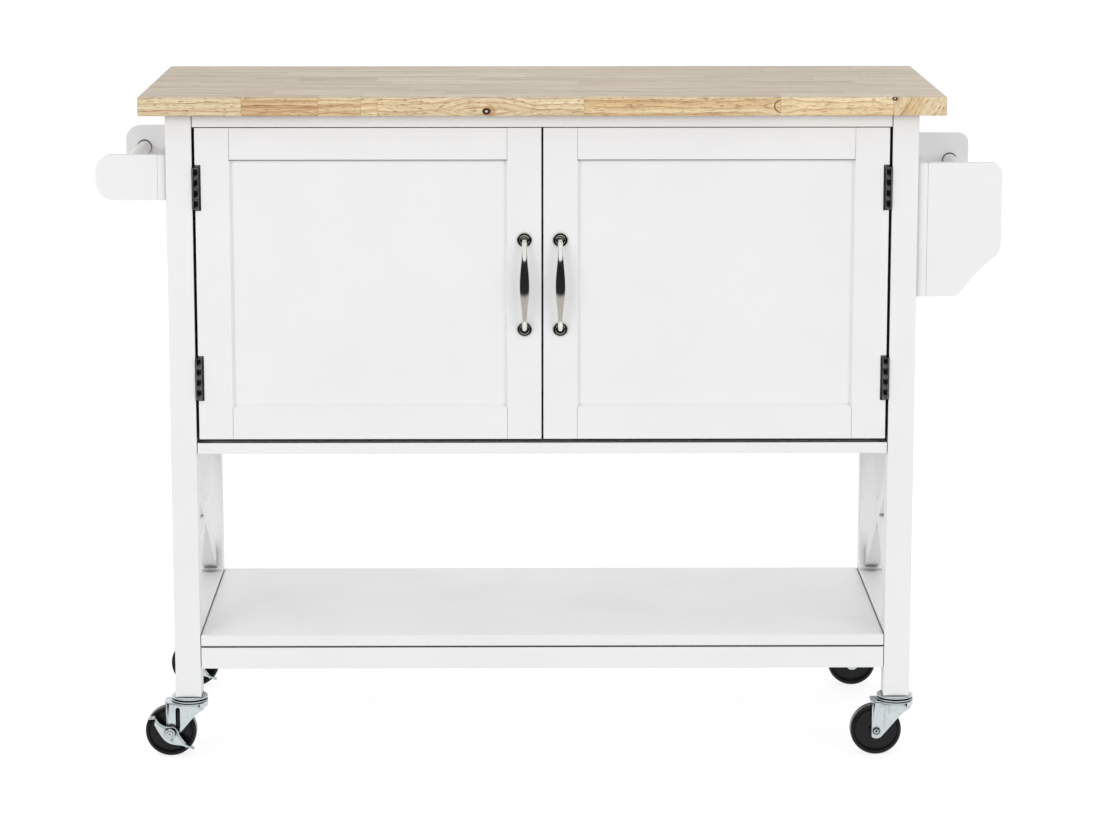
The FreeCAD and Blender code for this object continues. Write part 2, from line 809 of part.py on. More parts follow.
def make_fork_side():
    """One flat side of the fork: a rounded boss at the axle that widens towards the race."""
    axle = Vec(-caster_trail, 0, axle_height)
    rise = fork_plate_high - axle_height
    span = caster_trail + race_radius
    front = [axle + Vec(span * along, 0, rise * up) for along, up in fork_front_shares]
    top_back = Vec(-fork_side_back, 0, fork_plate_high)
    top_front = Vec(front[-1].x, 0, fork_plate_high)
    back_touch = tangent_point(top_back, axle, fork_boss_radius, 1)
    front_touch = tangent_point(front[0], axle, fork_boss_radius, -1)
    bottom = axle - ALONG_Z * fork_boss_radius
    outline = Part.Wire([Part.makeLine(top_back, back_touch),
                         Part.Arc(back_touch, bottom, front_touch).toShape(),
                         Part.makeLine(front_touch, front[0]),
                         Part.Arc(front[0], front[1], front[2]).toShape(),
                         Part.makeLine(front[2], top_front),
                         Part.makeLine(top_front, top_back)])
    return Part.Face(outline)


def make_fork():
    """The pressed fork: two sides, the plate between them and the lower race."""
    side = make_fork_side()
    sides = []
    for y_low in (-fork_outer_y, fork_inner_y):
        plate = side.copy()
        plate.translate(Vec(0, y_low, 0))
        sides.append(plate.extrude(Vec(0, fork_thickness, 0)))
    corner = fork_back_corner
    back = -fork_back_reach
    plate = face_of([Vec(0, -fork_outer_y, fork_plate_low),
                     Vec(back + corner, -fork_outer_y, fork_plate_low),
                     Vec(back, -fork_outer_y + corner, fork_plate_low),
                     Vec(back, fork_outer_y - corner, fork_plate_low),
                     Vec(back + corner, fork_outer_y, fork_plate_low),
                     Vec(0, fork_outer_y, fork_plate_low)])
    plate = plate.extrude(Vec(0, 0, fork_thickness))
    disc = cylinder(race_radius, Vec(0, 0, fork_plate_low), Vec(0, 0, fork_race_high))
    disc = disc.makeFillet(race_edge, disc.Edges[:1])
    skirt_low = fork_plate_low - fork_skirt_height
    skirt = cylinder(race_radius, Vec(0, 0, skirt_low), Vec(0, 0, fork_plate_low))
    skirt_inside = race_radius - fork_thickness
    skirt = skirt.cut(cylinder(skirt_inside, Vec(0, 0, skirt_low), Vec(0, 0, fork_plate_low)))
    keep = box(fork_outer_y, race_radius + overrun, -race_radius, race_radius, skirt_low, fork_plate_low)
    trimmed = []
    envelope = cylinder(race_radius, Vec(0, 0, 0), Vec(0, 0, fork_race_high))
    behind = box(-fork_back_reach - wheel_diameter, 0, -fork_outer_y, fork_outer_y, 0, fork_race_high)
    for plate_side in sides:
        trimmed.append(plate_side.common(envelope.fuse(behind)))
    fork = fused([plate, disc, skirt.common(keep)] + trimmed)
    bend_places = [Vec(0, side_y * fork_outer_y, fork_plate_high) for side_y in (-1, 1)]
    bends = upright_edges_at(fork, bend_places, ALONG_X)
    fork = fork.makeFillet(fork_bend_radius, bends)
    swivel_bore = kingpin_radius + shaft_clearance
    fork = fork.cut(cylinder(swivel_bore, Vec(0, 0, skirt_low), Vec(0, 0, stem_race_low)))
    axle = Vec(-caster_trail, 0, axle_height)
    bore = cylinder(axle_radius, axle - ALONG_Y * race_radius, axle + ALONG_Y * race_radius)
    return fork.cut(bore)


def make_stem():
    """The fixed half of a caster: stem, upper race and the kingpin that holds the fork."""
    stem = cylinder(stem_radius, Vec(0, 0, leg_low), Vec(0, 0, leg_low + stem_length))
    race = cylinder(race_radius, Vec(0, 0, stem_race_low), Vec(0, 0, leg_low))
    race = race.makeFillet(race_edge, [edge for edge in race.Edges if edge.Closed])
    pin_low = fork_plate_low - kingpin_gap
    pin = cylinder(kingpin_radius, Vec(0, 0, pin_low), Vec(0, 0, stem_race_low))
    head = cylinder(kingpin_head_radius, Vec(0, 0, pin_low - kingpin_head_height), Vec(0, 0, pin_low))
    return fused([stem, race, pin, head])


def make_axle(braked):
    """The axle bolt: a head behind, and in front a second head or, past the pedal, a nut."""
    centre = Vec(-caster_trail, 0, axle_height)
    rear = centre + ALONG_Y * fork_outer_y
    rear_head = cylinder(axle_head_radius, rear, rear + ALONG_Y * axle_head_height)
    if not braked:
        front = centre - ALONG_Y * fork_outer_y
        front_head = cylinder(axle_head_radius, front - ALONG_Y * axle_head_height, front)
        return fused([cylinder(axle_radius, front, rear), rear_head, front_head])
    nut_back = centre - ALONG_Y * (pedal_front_y + pedal_nut_gap)
    nut_front = nut_back - ALONG_Y * axle_nut_height
    corner = axle_nut_flats / math.sqrt(3)
    headings = [math.radians(60 * turn) for turn in range(6)]
    corners = [nut_back + Vec(math.cos(heading), 0, math.sin(heading)) * corner for heading in headings]
    nut = face_of(corners).extrude(nut_front - nut_back)
    shank = cylinder(axle_radius, nut_front - ALONG_Y * axle_end_length, rear)
    return fused([shank, rear_head, nut])


def make_pedal():
    """The brake pedal on a left caster's front: plate, upper flange and a foot tab at each end."""
    axle = Vec(-caster_trail, 0, axle_height)

    def place(share, y):
        """A point of the pedal from its shares of the reach."""
        return axle + Vec(share[0] * pedal_reach, y, share[1] * pedal_reach)

    y_back = -pedal_back_y
    outline = [place(share, y_back) for share in pedal_top_shares + pedal_bottom_shares]
    plate = face_of(outline).extrude(Vec(0, -pedal_thickness, 0))
    parts = [plate]
    flange_runs = list(zip(pedal_top_shares[:-1], pedal_top_shares[1:]))
    for first, second in flange_runs:
        parts.append(upright_strip(place(first, y_back), place(second, y_back), pedal_flange_thickness,
                                   pedal_thickness + pedal_flange_depth))
    for first, second in (pedal_left_tab_shares, pedal_right_tab_shares):
        parts.append(upright_strip(place(first, y_back), place(second, y_back), pedal_tab_thickness,
                                   pedal_thickness + pedal_tab_depth))
    pedal = fused(parts)
    bore_start = axle + Vec(0, y_back + overrun, 0)
    bore_end = axle + Vec(0, y_back - pedal_thickness - overrun, 0)
    return pedal.cut(cylinder(axle_radius + shaft_clearance, bore_start, bore_end))


def upright_strip(start, end, thickness, depth):
    """A strip on edge along a line in the XZ plane, standing forward of it."""
    along = (end - start).normalize()
    below = Vec(along.z, 0, -along.x) * thickness
    if below.z > 0:
        below = below * -1
    overlap = along * (thickness / 2)
    corners = [start - overlap, end + overlap, end + overlap + below, start - overlap + below]
    return face_of(corners).extrude(Vec(0, -depth, 0))


def moved(shape, place):
    """A copy of a solid at another place."""
    copy = shape.copy()
    copy.translate(place)
    return copy


# Writing


def save(node, solids):
    """Write one node's solids, shifted so that the cart's middle is at X = 0."""
    shapes = [moved(solid, Vec(-middle_x, 0, 0)) for solid in solids]
    result = shapes[0] if len(shapes) == 1 else Part.makeCompound(shapes)
    bad = [solid for solid in result.Solids if not solid.isValid()]
    result.exportStep(os.path.join("parts", node + ".step"))
    box_now = result.BoundBox
    print(f"{node:28s} solids {len(result.Solids):2d} volume {result.Volume / 1000:9.2f} cm3 "
          f"x {box_now.XMin:8.2f} {box_now.XMax:8.2f} y {box_now.YMin:8.2f} {box_now.YMax:8.2f} "
          f"z {box_now.ZMin:8.2f} {box_now.ZMax:8.2f}{' INVALID' if bad else ''}")


def save_frame():
    """Worktop, legs, rails, cabinet, low shelf and braces."""
    frame_hinge_screws = [screw for z_low in hinge_lows
                          for screw in leaf_screws(z_low, inner_x - leaf_thickness, 1)]
    frame_hinge_screws += [mirrored(screw) for screw in frame_hinge_screws]
    save("worktop", [make_worktop()])
    for name_y, side_y in (("front", -1), ("rear", 1)):
        for name_x, side_x in (("left", -1), ("right", 1)):
            leg = make_leg(side_x, side_y)
            if side_y < 0:
                for screw in frame_hinge_screws:
                    leg = leg.cut(screw)
            save(f"leg_{name_y}_{name_x}", [leg])
    save("top_rails", make_top_rails())

    pins = make_shelf_pins(-1) + make_shelf_pins(1)
    side_panels = [make_side_panel(), mirrored(make_side_panel())]
    for pin in pins:
        side_panels = [panel.cut(pin) for panel in side_panels]
    save("side_panels", side_panels)
    save("back_panel", [make_back_panel()])
    save("cabinet_floor", [make_cabinet_floor()])
    save("inner_shelf", [make_inner_shelf()])
    save("shelf_pins", pins)

    save("low_shelf", [make_low_shelf()])
    save("low_rail_front", [make_low_rail(-1)])
    save("low_rail_rear", [make_low_rail(1)])
    save("low_side_rails", [make_side_rail(), mirrored(make_side_rail())])

    bars, crotch_z = make_brace_bars()
    brace_screw = make_brace_screw(crotch_z)
    bars = [bar.cut(brace_screw) for bar in bars]
    save("cross_brace_left", [mirrored(bar) for bar in bars])
    save("cross_brace_right", bars)
    save("frame_screws", [brace_screw, mirrored(brace_screw)] + frame_hinge_screws)


def save_hinges():
    """The leaves fixed to the legs, the pins and the catches."""
    leaves = [make_frame_leaf(z_low) for z_low in hinge_lows]
    pins = [make_hinge_pin(z_low) for z_low in hinge_lows]
    save("frame_hinge_leaves", leaves + [mirrored(leaf) for leaf in leaves])
    save("hinge_pins", pins + [mirrored(pin) for pin in pins])
    save("door_catches", [make_catch(), mirrored(make_catch())])


def save_doors():
    """Both doors with their handles and hinge leaves."""
    hinge_stile, meeting_stile, rails, panel = make_door_wood()
    leaves = [make_door_leaf(z_low) for z_low in hinge_lows]
    screws = make_handle_screws()
    for z_low in hinge_lows:
        screws += leaf_screws(z_low, door_hinge_x + leaf_thickness, -1)
    groups = {"hinge_stile": [hinge_stile], "meeting_stile": [meeting_stile], "rails": rails,
              "panel": [panel], "handle": [make_handle()], "screws": screws, "hinge_leaves": leaves,
              "strike": [make_strike()]}
    for name, solids in groups.items():
        save(f"right_door_{name}", solids)
        save(f"left_door_{name}", [mirrored(solid) for solid in solids])


def save_side_fittings():
    """The towel rail on the left and the spice rack on the right."""
    save("towel_board", [mirrored(make_towel_board())])
    save("towel_brackets", [mirrored(make_towel_bracket(-1)), mirrored(make_towel_bracket(1))])
    towel_rod = make_rod(towel_out - towel_rod_inset, towel_high - towel_rod_drop)
    save("towel_rod", [mirrored(towel_rod)])
    save("rack_board", [make_rack_board()])
    save("rack_end_front", [make_rack_end(-1)])
    save("rack_end_rear", [make_rack_end(1)])
    save("rack_floor", [make_rack_floor()])
    save("rack_rod", [make_rod(rack_out - rack_rod_inset, rack_high - rack_rod_drop)])


def save_casters():
    """Four casters: fixed stems, and a fork, axle and wheel each, with pedals on the left pair."""
    corners = [(name_y, side_y, name_x, side_x) for name_y, side_y in (("front", -1), ("rear", 1))
               for name_x, side_x in (("left", -1), ("right", 1))]
    places = [Vec(side_x * leg_x, side_y * leg_y, 0) for _, side_y, _, side_x in corners]
    save("caster_stems", [moved(make_stem(), place) for place in places])
    for (name_y, _, name_x, side_x), place in zip(corners, places):
        name = f"{name_y}_{name_x}"
        braked = side_x < 0
        save(f"caster_fork_{name}", [moved(make_fork(), place)])
        save(f"caster_axle_{name}", [moved(make_axle(braked), place)])
        save(f"caster_wheel_{name}", [moved(make_wheel(), place)])
        if braked:
            save(f"brake_pedal_{name}", [moved(make_pedal(), place)])


def build_cart():
    """Write every node of the cart."""
    os.makedirs("parts", exist_ok=True)
    save_frame()
    save_hinges()
    save_doors()
    save_side_fittings()
    save_casters()


build_cart()
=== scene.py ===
"""Looks for a rolling kitchen cart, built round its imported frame."""

import json
import logging
import math
import random
from collections.abc import Callable, Iterator, Sequence
from contextlib import contextmanager
from dataclasses import dataclass
from enum import Enum

import bmesh
import bpy
from mathutils import Matrix, Vector


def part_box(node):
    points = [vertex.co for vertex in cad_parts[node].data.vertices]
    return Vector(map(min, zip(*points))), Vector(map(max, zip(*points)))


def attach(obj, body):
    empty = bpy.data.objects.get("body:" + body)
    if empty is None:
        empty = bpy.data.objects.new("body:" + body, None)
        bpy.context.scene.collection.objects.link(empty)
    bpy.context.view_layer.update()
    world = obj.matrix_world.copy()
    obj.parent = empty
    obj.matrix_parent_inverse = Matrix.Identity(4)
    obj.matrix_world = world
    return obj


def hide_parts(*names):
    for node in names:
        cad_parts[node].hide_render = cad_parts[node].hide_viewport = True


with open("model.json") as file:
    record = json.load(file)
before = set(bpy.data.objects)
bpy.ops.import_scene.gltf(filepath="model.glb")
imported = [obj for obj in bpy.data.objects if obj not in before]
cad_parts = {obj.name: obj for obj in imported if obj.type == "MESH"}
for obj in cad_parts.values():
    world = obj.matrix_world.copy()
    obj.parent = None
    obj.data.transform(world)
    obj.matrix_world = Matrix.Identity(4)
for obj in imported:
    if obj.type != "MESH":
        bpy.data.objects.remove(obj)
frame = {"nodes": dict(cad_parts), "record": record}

Pair = tuple[float, float]
Point = Pair
Triple = tuple[float, float, float]
Quad = tuple[float, float, float, float]
Colour = Triple
Outline = Sequence[Point]
Key = str | int
Piece = bpy.types.Object
Material = bpy.types.Material
Socket = bpy.types.NodeSocket

log = logging.getLogger("kitchen_cart")

MERGE_REACH = 1e-6
DOORS_MIDDLE = -0.0095
BLACK = (0.0, 0.0, 0.0)
WHITE = (1.0, 1.0, 1.0)
MIDDLE = Vector((0, 0, 0))
UP = Vector((0, 0, 1))
ALONG = Vector((1, 0, 0))
BACK = Vector((0, 1, 0))
FRONT = Vector((0, -1, 0))


# Modelling with Blender's own operators


def clear_selection() -> None:
    """Leave edit mode and select nothing."""
    if bpy.context.object and bpy.context.object.mode != "OBJECT":
        bpy.ops.object.mode_set(mode="OBJECT")
    bpy.ops.object.select_all(action="DESELECT")


def focus(piece: Piece) -> None:
    """Make one piece the only selected and the active one."""
    clear_selection()
    piece.select_set(True)
    bpy.context.view_layer.objects.active = piece


@contextmanager
def editing(piece: Piece) -> Iterator[None]:
    """Hold a piece in edit mode, with vertices to pick."""
    focus(piece)
    bpy.ops.object.mode_set(mode="EDIT")
    bpy.ops.mesh.select_mode(type="VERT")
    yield
    bpy.ops.object.mode_set(mode="OBJECT")


def settle(name: str) -> Piece:
    """Name the piece just added and put its place into its mesh.

    Args:
        name: The piece's name.

    Returns:
        The piece, with its object at the origin.
    """
    piece = bpy.context.object
    piece.name = name
    piece.data.name = name
    focus(piece)
    bpy.ops.object.transform_apply(location=True, rotation=True, scale=True)
    return piece


def pick_faces(piece: Piece, wanted: Callable[[bmesh.types.BMFace], bool]) -> None:
    """Select only the faces that pass a test, in edit mode.

    Args:
        piece: The piece in edit mode.
        wanted: Says whether a face is picked.
    """
    bpy.ops.mesh.select_mode(type="FACE")
    bpy.ops.mesh.select_all(action="DESELECT")
    mesh = bmesh.from_edit_mesh(piece.data)
    for face in mesh.faces:
        face.select_set(wanted(face))
    mesh.select_flush(True)
    bmesh.update_edit_mesh(piece.data)


def modify(piece: Piece, kind: str, **settings: object) -> Piece:
    """Add one modifier and apply it.

    Args:
        piece: The piece to change.
        kind: The modifier's type.
        settings: The modifier's values by name.

    Returns:
        The same piece.
    """
    focus(piece)
    modifier = piece.modifiers.new(kind.lower(), kind)
    for key, value in settings.items():
        setattr(modifier, key, value)
    bpy.ops.object.modifier_apply(modifier=modifier.name)
    return piece


def ease(piece: Piece, width: float, segments: int, degrees: float) -> Piece:
    """Round a piece's sharp edges.

    Args:
        piece: The piece to change.
        width: How far the rounding reaches from each edge.
        segments: How many facets round the edge.
        degrees: The least angle that counts as sharp.

    Returns:
        The same piece.
    """
    return modify(piece, "BEVEL", width=width, segments=segments, limit_method="ANGLE",
                  angle_limit=math.radians(degrees), use_clamp_overlap=True, harden_normals=False)


def combine(piece: Piece, tool: Piece, operation: str) -> Piece:
    """Cut, join or intersect a piece with another, which is used up.

    Args:
        piece: The piece to change.
        tool: The other solid.
        operation: DIFFERENCE, UNION or INTERSECT.

    Returns:
        The changed piece.
    """
    modify(piece, "BOOLEAN", object=tool, operation=operation, solver="EXACT")
    bpy.data.objects.remove(tool)
    return piece


def join(pieces: Sequence[Piece], name: str) -> Piece:
    """Make one piece of several.

    Args:
        pieces: The pieces to join.
        name: The joined piece's name.

    Returns:
        The joined piece.
    """
    focus(pieces[0])
    for piece in pieces:
        piece.select_set(True)
    bpy.ops.object.join()
    joined = bpy.context.object
    joined.name = name
    joined.data.name = name
    return joined


def smooth(piece: Piece, degrees: float) -> Piece:
    """Shade a piece smooth except over its sharp edges.

    Args:
        piece: The piece to shade.
        degrees: The least angle that counts as sharp.

    Returns:
        The same piece.
    """
    focus(piece)
    bpy.ops.object.shade_smooth_by_angle(angle=math.radians(degrees))
    return piece


def copy_of(piece: Piece, name: str, change: Matrix) -> Piece:
    """A moved, turned or mirrored copy with a mesh of its own.

    Args:
        piece: The piece to copy.
        name: The copy's name.
        change: The matrix that its mesh is taken through.

    Returns:
        The copy, with its object at the origin.
    """
    mesh = piece.data.copy()
    mesh.name = name
    mesh.transform(change)
    if change.determinant() < 0:
        mesh.flip_normals()
    copy = bpy.data.objects.new(name, mesh)
    bpy.context.scene.collection.objects.link(copy)
    return copy


def block(name: str, low: Sequence[float], high: Sequence[float]) -> Piece:
    """A cube stretched between two corners.

    Args:
        name: The piece's name.
        low: Its lowest corner.
        high: Its highest corner.

    Returns:
        The new piece.
    """
    clear_selection()
    start, end = Vector(low), Vector(high)
    bpy.ops.mesh.primitive_cube_add(size=1, location=(start + end) / 2, scale=end - start)
    return settle(name)


def bar(name: str, start: Vector, end: Vector, radius: float, sides: int) -> Piece:
    """A many-sided bar from one point to another.

    Args:
        name: The piece's name.
        start: The middle of one end.
        end: The middle of the other end.
        radius: The bar's radius over its corners.
        sides: How many faces go round it.

    Returns:
        The new piece.
    """
    clear_selection()
    run = end - start
    turn = run.to_track_quat("Z", "Y").to_euler()
    bpy.ops.mesh.primitive_cylinder_add(vertices=sides, radius=radius, depth=run.length,
                                        location=(start + end) / 2, rotation=turn)
    return settle(name)


class Plane(Enum):
    """The plane that a flat outline is drawn in."""

    FACING_FRONT = "xz"
    FACING_UP = "xy"
    FACING_END = "yz"

    def place(self, across: float, along: float, depth: float) -> Vector:
        """A point of the outline in space.

        Args:
            across: The outline's first coordinate.
            along: The outline's second coordinate.
            depth: How far the plane stands from the origin.

        Returns:
            The point.
        """
        if self is Plane.FACING_FRONT:
            return Vector((across, depth, along))
        if self is Plane.FACING_UP:
            return Vector((across, along, depth))
        return Vector((depth, across, along))


def trace(name: str, points: Sequence[Vector]) -> Piece:
    """A chain of edges, extruded vertex by vertex.

    Args:
        name: The piece's name.
        points: The chain's points in order.

    Returns:
        The new piece, all selected.
    """
    clear_selection()
    bpy.ops.mesh.primitive_plane_add(size=0.001, location=points[0])
    piece = settle(name)
    with editing(piece):
        bpy.ops.mesh.select_all(action="SELECT")
        bpy.ops.mesh.merge(type="CENTER")
        for before, after in zip(points, points[1:]):
            bpy.ops.mesh.extrude_vertices_move(TRANSFORM_OT_translate={"value": after - before})
    return piece


def plate(name: str, plane: Plane, outline: Outline, depth: float, thickness: float) -> Piece:
    """A flat outline pulled out to a thickness.

    Args:
        name: The piece's name.
        plane: The plane of the outline.
        outline: The corners in order.
        depth: Where the first face lies.
        thickness: How far it is pulled, signed.

    Returns:
        The new piece.
    """
    piece = trace(name, [plane.place(across, along, depth) for across, along in outline])
    pull = plane.place(0, 0, thickness)
    with editing(piece):
        bpy.ops.mesh.select_all(action="SELECT")
        bpy.ops.mesh.edge_face_add()
        bpy.ops.mesh.extrude_region_move(TRANSFORM_OT_translate={"value": pull})
        bpy.ops.mesh.select_all(action="SELECT")
        bpy.ops.mesh.normals_make_consistent(inside=False)
    return piece


def turned(name: str, profile: Outline, centre: Vector, axis: Vector, steps: int, ring: bool = False,
           degrees: float = 360, side: Vector | None = None) -> Piece:
    """A profile of (radius, distance along) pairs spun about an axis.

    Args:
        name: The piece's name.
        profile: The pairs, from one end of the axis to the other.
        centre: The point that distances along the axis start from.
        axis: The axis of the turning.
        steps: How many faces go round.
        ring: Whether the last pair joins the first, as on a piece with a bore.
        degrees: How far it is spun.
        side: The direction from the axis that the spin starts from.

    Returns:
        The new piece.
    """
    side = side or axis.orthogonal().normalized()
    points = [centre + side * radius + axis * along for radius, along in profile]
    if ring:
        points.append(points[0])
    piece = trace(name, points)
    with editing(piece):
        bpy.ops.mesh.select_all(action="SELECT")
        bpy.ops.mesh.spin(steps=steps, angle=math.radians(degrees), center=centre, axis=axis)
        bpy.ops.mesh.select_all(action="SELECT")
        bpy.ops.mesh.remove_doubles(threshold=MERGE_REACH)
        bpy.ops.mesh.normals_make_consistent(inside=False)
    return piece


def swept(name: str, rings: Sequence[Matrix], sides: int) -> Piece:
    """A round section extruded from ring to ring.

    Args:
        name: The piece's name.
        rings: For each ring the matrix that takes a unit circle to it.
        sides: How many faces go round.

    Returns:
        The new piece, closed at both ends.
    """
    clear_selection()
    bpy.ops.mesh.primitive_circle_add(vertices=sides, radius=1, fill_type="NGON")
    piece = settle(name)
    piece.data.transform(rings[0])
    with editing(piece):
        bpy.ops.mesh.select_mode(type="FACE")
        bpy.ops.mesh.select_all(action="SELECT")
        for before, after in zip(rings, rings[1:]):
            bpy.ops.mesh.extrude_region_move()
            step = after @ before.inverted()
            mesh = bmesh.from_edit_mesh(piece.data)
            for vertex in mesh.verts:
                if vertex.select:
                    vertex.co = step @ vertex.co
            bmesh.update_edit_mesh(piece.data)
        bpy.ops.mesh.select_all(action="SELECT")
        bpy.ops.mesh.normals_make_consistent(inside=False)
    return piece


def arc(centre: Point, radius: float, start: float, end: float, steps: int) -> list[Point]:
    """Points along an arc of a circle.

    Args:
        centre: The circle's middle.
        radius: The circle's radius.
        start: The first point's angle in degrees.
        end: The last point's angle in degrees.
        steps: How many runs lie between the points.

    Returns:
        The points, both ends included.
    """
    angles = [math.radians(start + (end - start) * step / steps) for step in range(steps + 1)]
    return [(centre[0] + radius * math.cos(angle), centre[1] + radius * math.sin(angle)) for angle in angles]


def flowing(points: Outline, steps: int) -> list[Point]:
    """A smooth run through the given points.

    Args:
        points: The points to pass through.
        steps: How many runs lie between two of them.

    Returns:
        The points of the smooth run, both ends included.
    """
    known = [Vector(point) for point in points]
    padded = [known[0] * 2 - known[1], *known, known[-1] * 2 - known[-2]]
    run = []
    for before, start, end, after in zip(padded, padded[1:], padded[2:], padded[3:]):
        for step in range(steps):
            share = step / steps
            rise = (end - before) * share
            curve = (before * 2 - start * 5 + end * 4 - after) * share ** 2
            twist = (start * 3 - before - end * 3 + after) * share ** 3
            place = (start * 2 + rise + curve + twist) / 2
            run.append((place.x, place.y))
    return run + [tuple(known[-1])]


# Finishes


class Nodes:
    """A node tree, with short calls for the nodes that the finishes and the world share."""

    def __init__(self, tree: bpy.types.NodeTree) -> None:
        """Keep the tree.

        Args:
            tree: The tree that nodes are added to.
        """
        self.tree = tree

    def feed(self, socket: Socket, value: object) -> None:
        """Link a socket to another, or set its value.

        Args:
            socket: The input that is fed.
            value: An output to link, or a plain value.
        """
        if isinstance(value, bpy.types.NodeSocket):
            self.tree.links.new(value, socket)
        else:
            socket.default_value = value

    def add(self, kind: str, inputs: dict[Key, object], output: Key = 0, **settings: object) -> Socket:
        """Add a node.

        Args:
            kind: The node's type.
            inputs: What its sockets are fed, by name or number.
            output: The output to hand back.
            settings: The node's other values.

        Returns:
            The output socket.
        """
        node = self.tree.nodes.new(kind)
        for key, value in settings.items():
            setattr(node, key, value)
        for key, value in inputs.items():
            self.feed(node.inputs[key], value)
        return node.outputs[output]

    def place(self) -> Socket:
        """The place on the piece, in metres."""
        return self.add("ShaderNodeTexCoord", {}, "Object")

    def scaled(self, vector: Socket, scale: Triple) -> Socket:
        """A place stretched along each axis."""
        return self.add("ShaderNodeMapping", {"Vector": vector, "Scale": scale})

    def noise(self, vector: Socket, scale: float, detail: float, seed: object = 0.0,
              rough: float = 0.5) -> Socket:
        """Soft random values from 0 to 1 at a place."""
        return self.add("ShaderNodeTexNoise", {"Vector": vector, "Scale": scale, "Detail": detail,
                                               "W": seed, "Roughness": rough}, "Fac", noise_dimensions="4D")

    def attribute(self, name: str, output: str = "Vector") -> Socket:
        """What the mesh notes under a name."""
        return self.add("ShaderNodeAttribute", {}, output, attribute_name=name)

    def openness(self, reach: float) -> Socket:
        """How open the surface stands within a reach: 1 on open faces, less in corners and gaps."""
        return self.add("ShaderNodeAmbientOcclusion", {"Distance": reach}, "AO", samples=6)

    def calc(self, operation: str, first: object, second: object = 0.0, third: object = 0.0,
             clamp: bool = False) -> Socket:
        """One sum on values."""
        return self.add("ShaderNodeMath", {0: first, 1: second, 2: third}, operation=operation,
                        use_clamp=clamp)

    def aim(self, operation: str, first: object, second: object, output: str = "Vector") -> Socket:
        """One sum on vectors."""
        return self.add("ShaderNodeVectorMath", {0: first, 1: second}, output, operation=operation)

    def length(self, vector: Socket) -> Socket:
        """A vector's length."""
        return self.aim("LENGTH", vector, (0, 0, 0), "Value")

    def span(self, value: Socket, low: float, high: float, start: float = 0.0, end: float = 1.0,
             curve: str = "LINEAR") -> Socket:
        """Take a value's range from low to high over to start to end, and stop there."""
        return self.add("ShaderNodeMapRange", {"Value": value, "From Min": low, "From Max": high,
                                               "To Min": start, "To Max": end}, interpolation_type=curve)

    def blend(self, share: object, first: object, second: object, mode: str = "MIX") -> Socket:
        """Mix two colours."""
        return self.add("ShaderNodeMix", {0: share, 6: first, 7: second}, 2, data_type="RGBA",
                        blend_type=mode)

    def blend_value(self, share: object, first: object, second: object) -> Socket:
        """Mix two values."""
        return self.add("ShaderNodeMix", {0: share, 2: first, 3: second}, 0, data_type="FLOAT")

    def parts(self, vector: Socket) -> tuple[Socket, Socket, Socket]:
        """A vector's three values."""
        node = self.add("ShaderNodeSeparateXYZ", {0: vector}).node
        return node.outputs[0], node.outputs[1], node.outputs[2]

    def sight(self) -> Socket:
        """One for rays that see or mirror, and zero for rays that light."""
        rays = self.add("ShaderNodeLightPath", {}).node.outputs
        mirrored = self.calc("MAXIMUM", rays["Is Glossy Ray"], rays["Is Transmission Ray"])
        return self.calc("MAXIMUM", rays["Is Camera Ray"], mirrored)


class Graph(Nodes):
    """A material's nodes, led to its shader."""

    def __init__(self, name: str) -> None:
        """Start from Blender's plain shader.

        Args:
            name: The material's name.
        """
        self.material = bpy.data.materials.new(name)
        self.material.use_nodes = True
        super().__init__(self.material.node_tree)
        self.shader = self.tree.nodes["Principled BSDF"]

    def relief(self, height: Socket, distance: float, strength: float) -> None:
        """Raise the surface by a height, in shading only."""
        bump = {"Height": height, "Distance": distance, "Strength": strength}
        self.feed(self.shader.inputs["Normal"], self.add("ShaderNodeBump", bump, "Normal"))

    def finish(self, **sockets: object) -> Material:
        """Feed the shader and hand the material back.

        Args:
            sockets: What the shader is fed, with spaces in names written as low lines.

        Returns:
            The material.
        """
        for key, value in sockets.items():
            self.feed(self.shader.inputs[key.replace("_", " ")], value)
        return self.material


def solid(colour: Colour) -> Quad:
    """A colour with full cover."""
    return (*colour, 1.0)


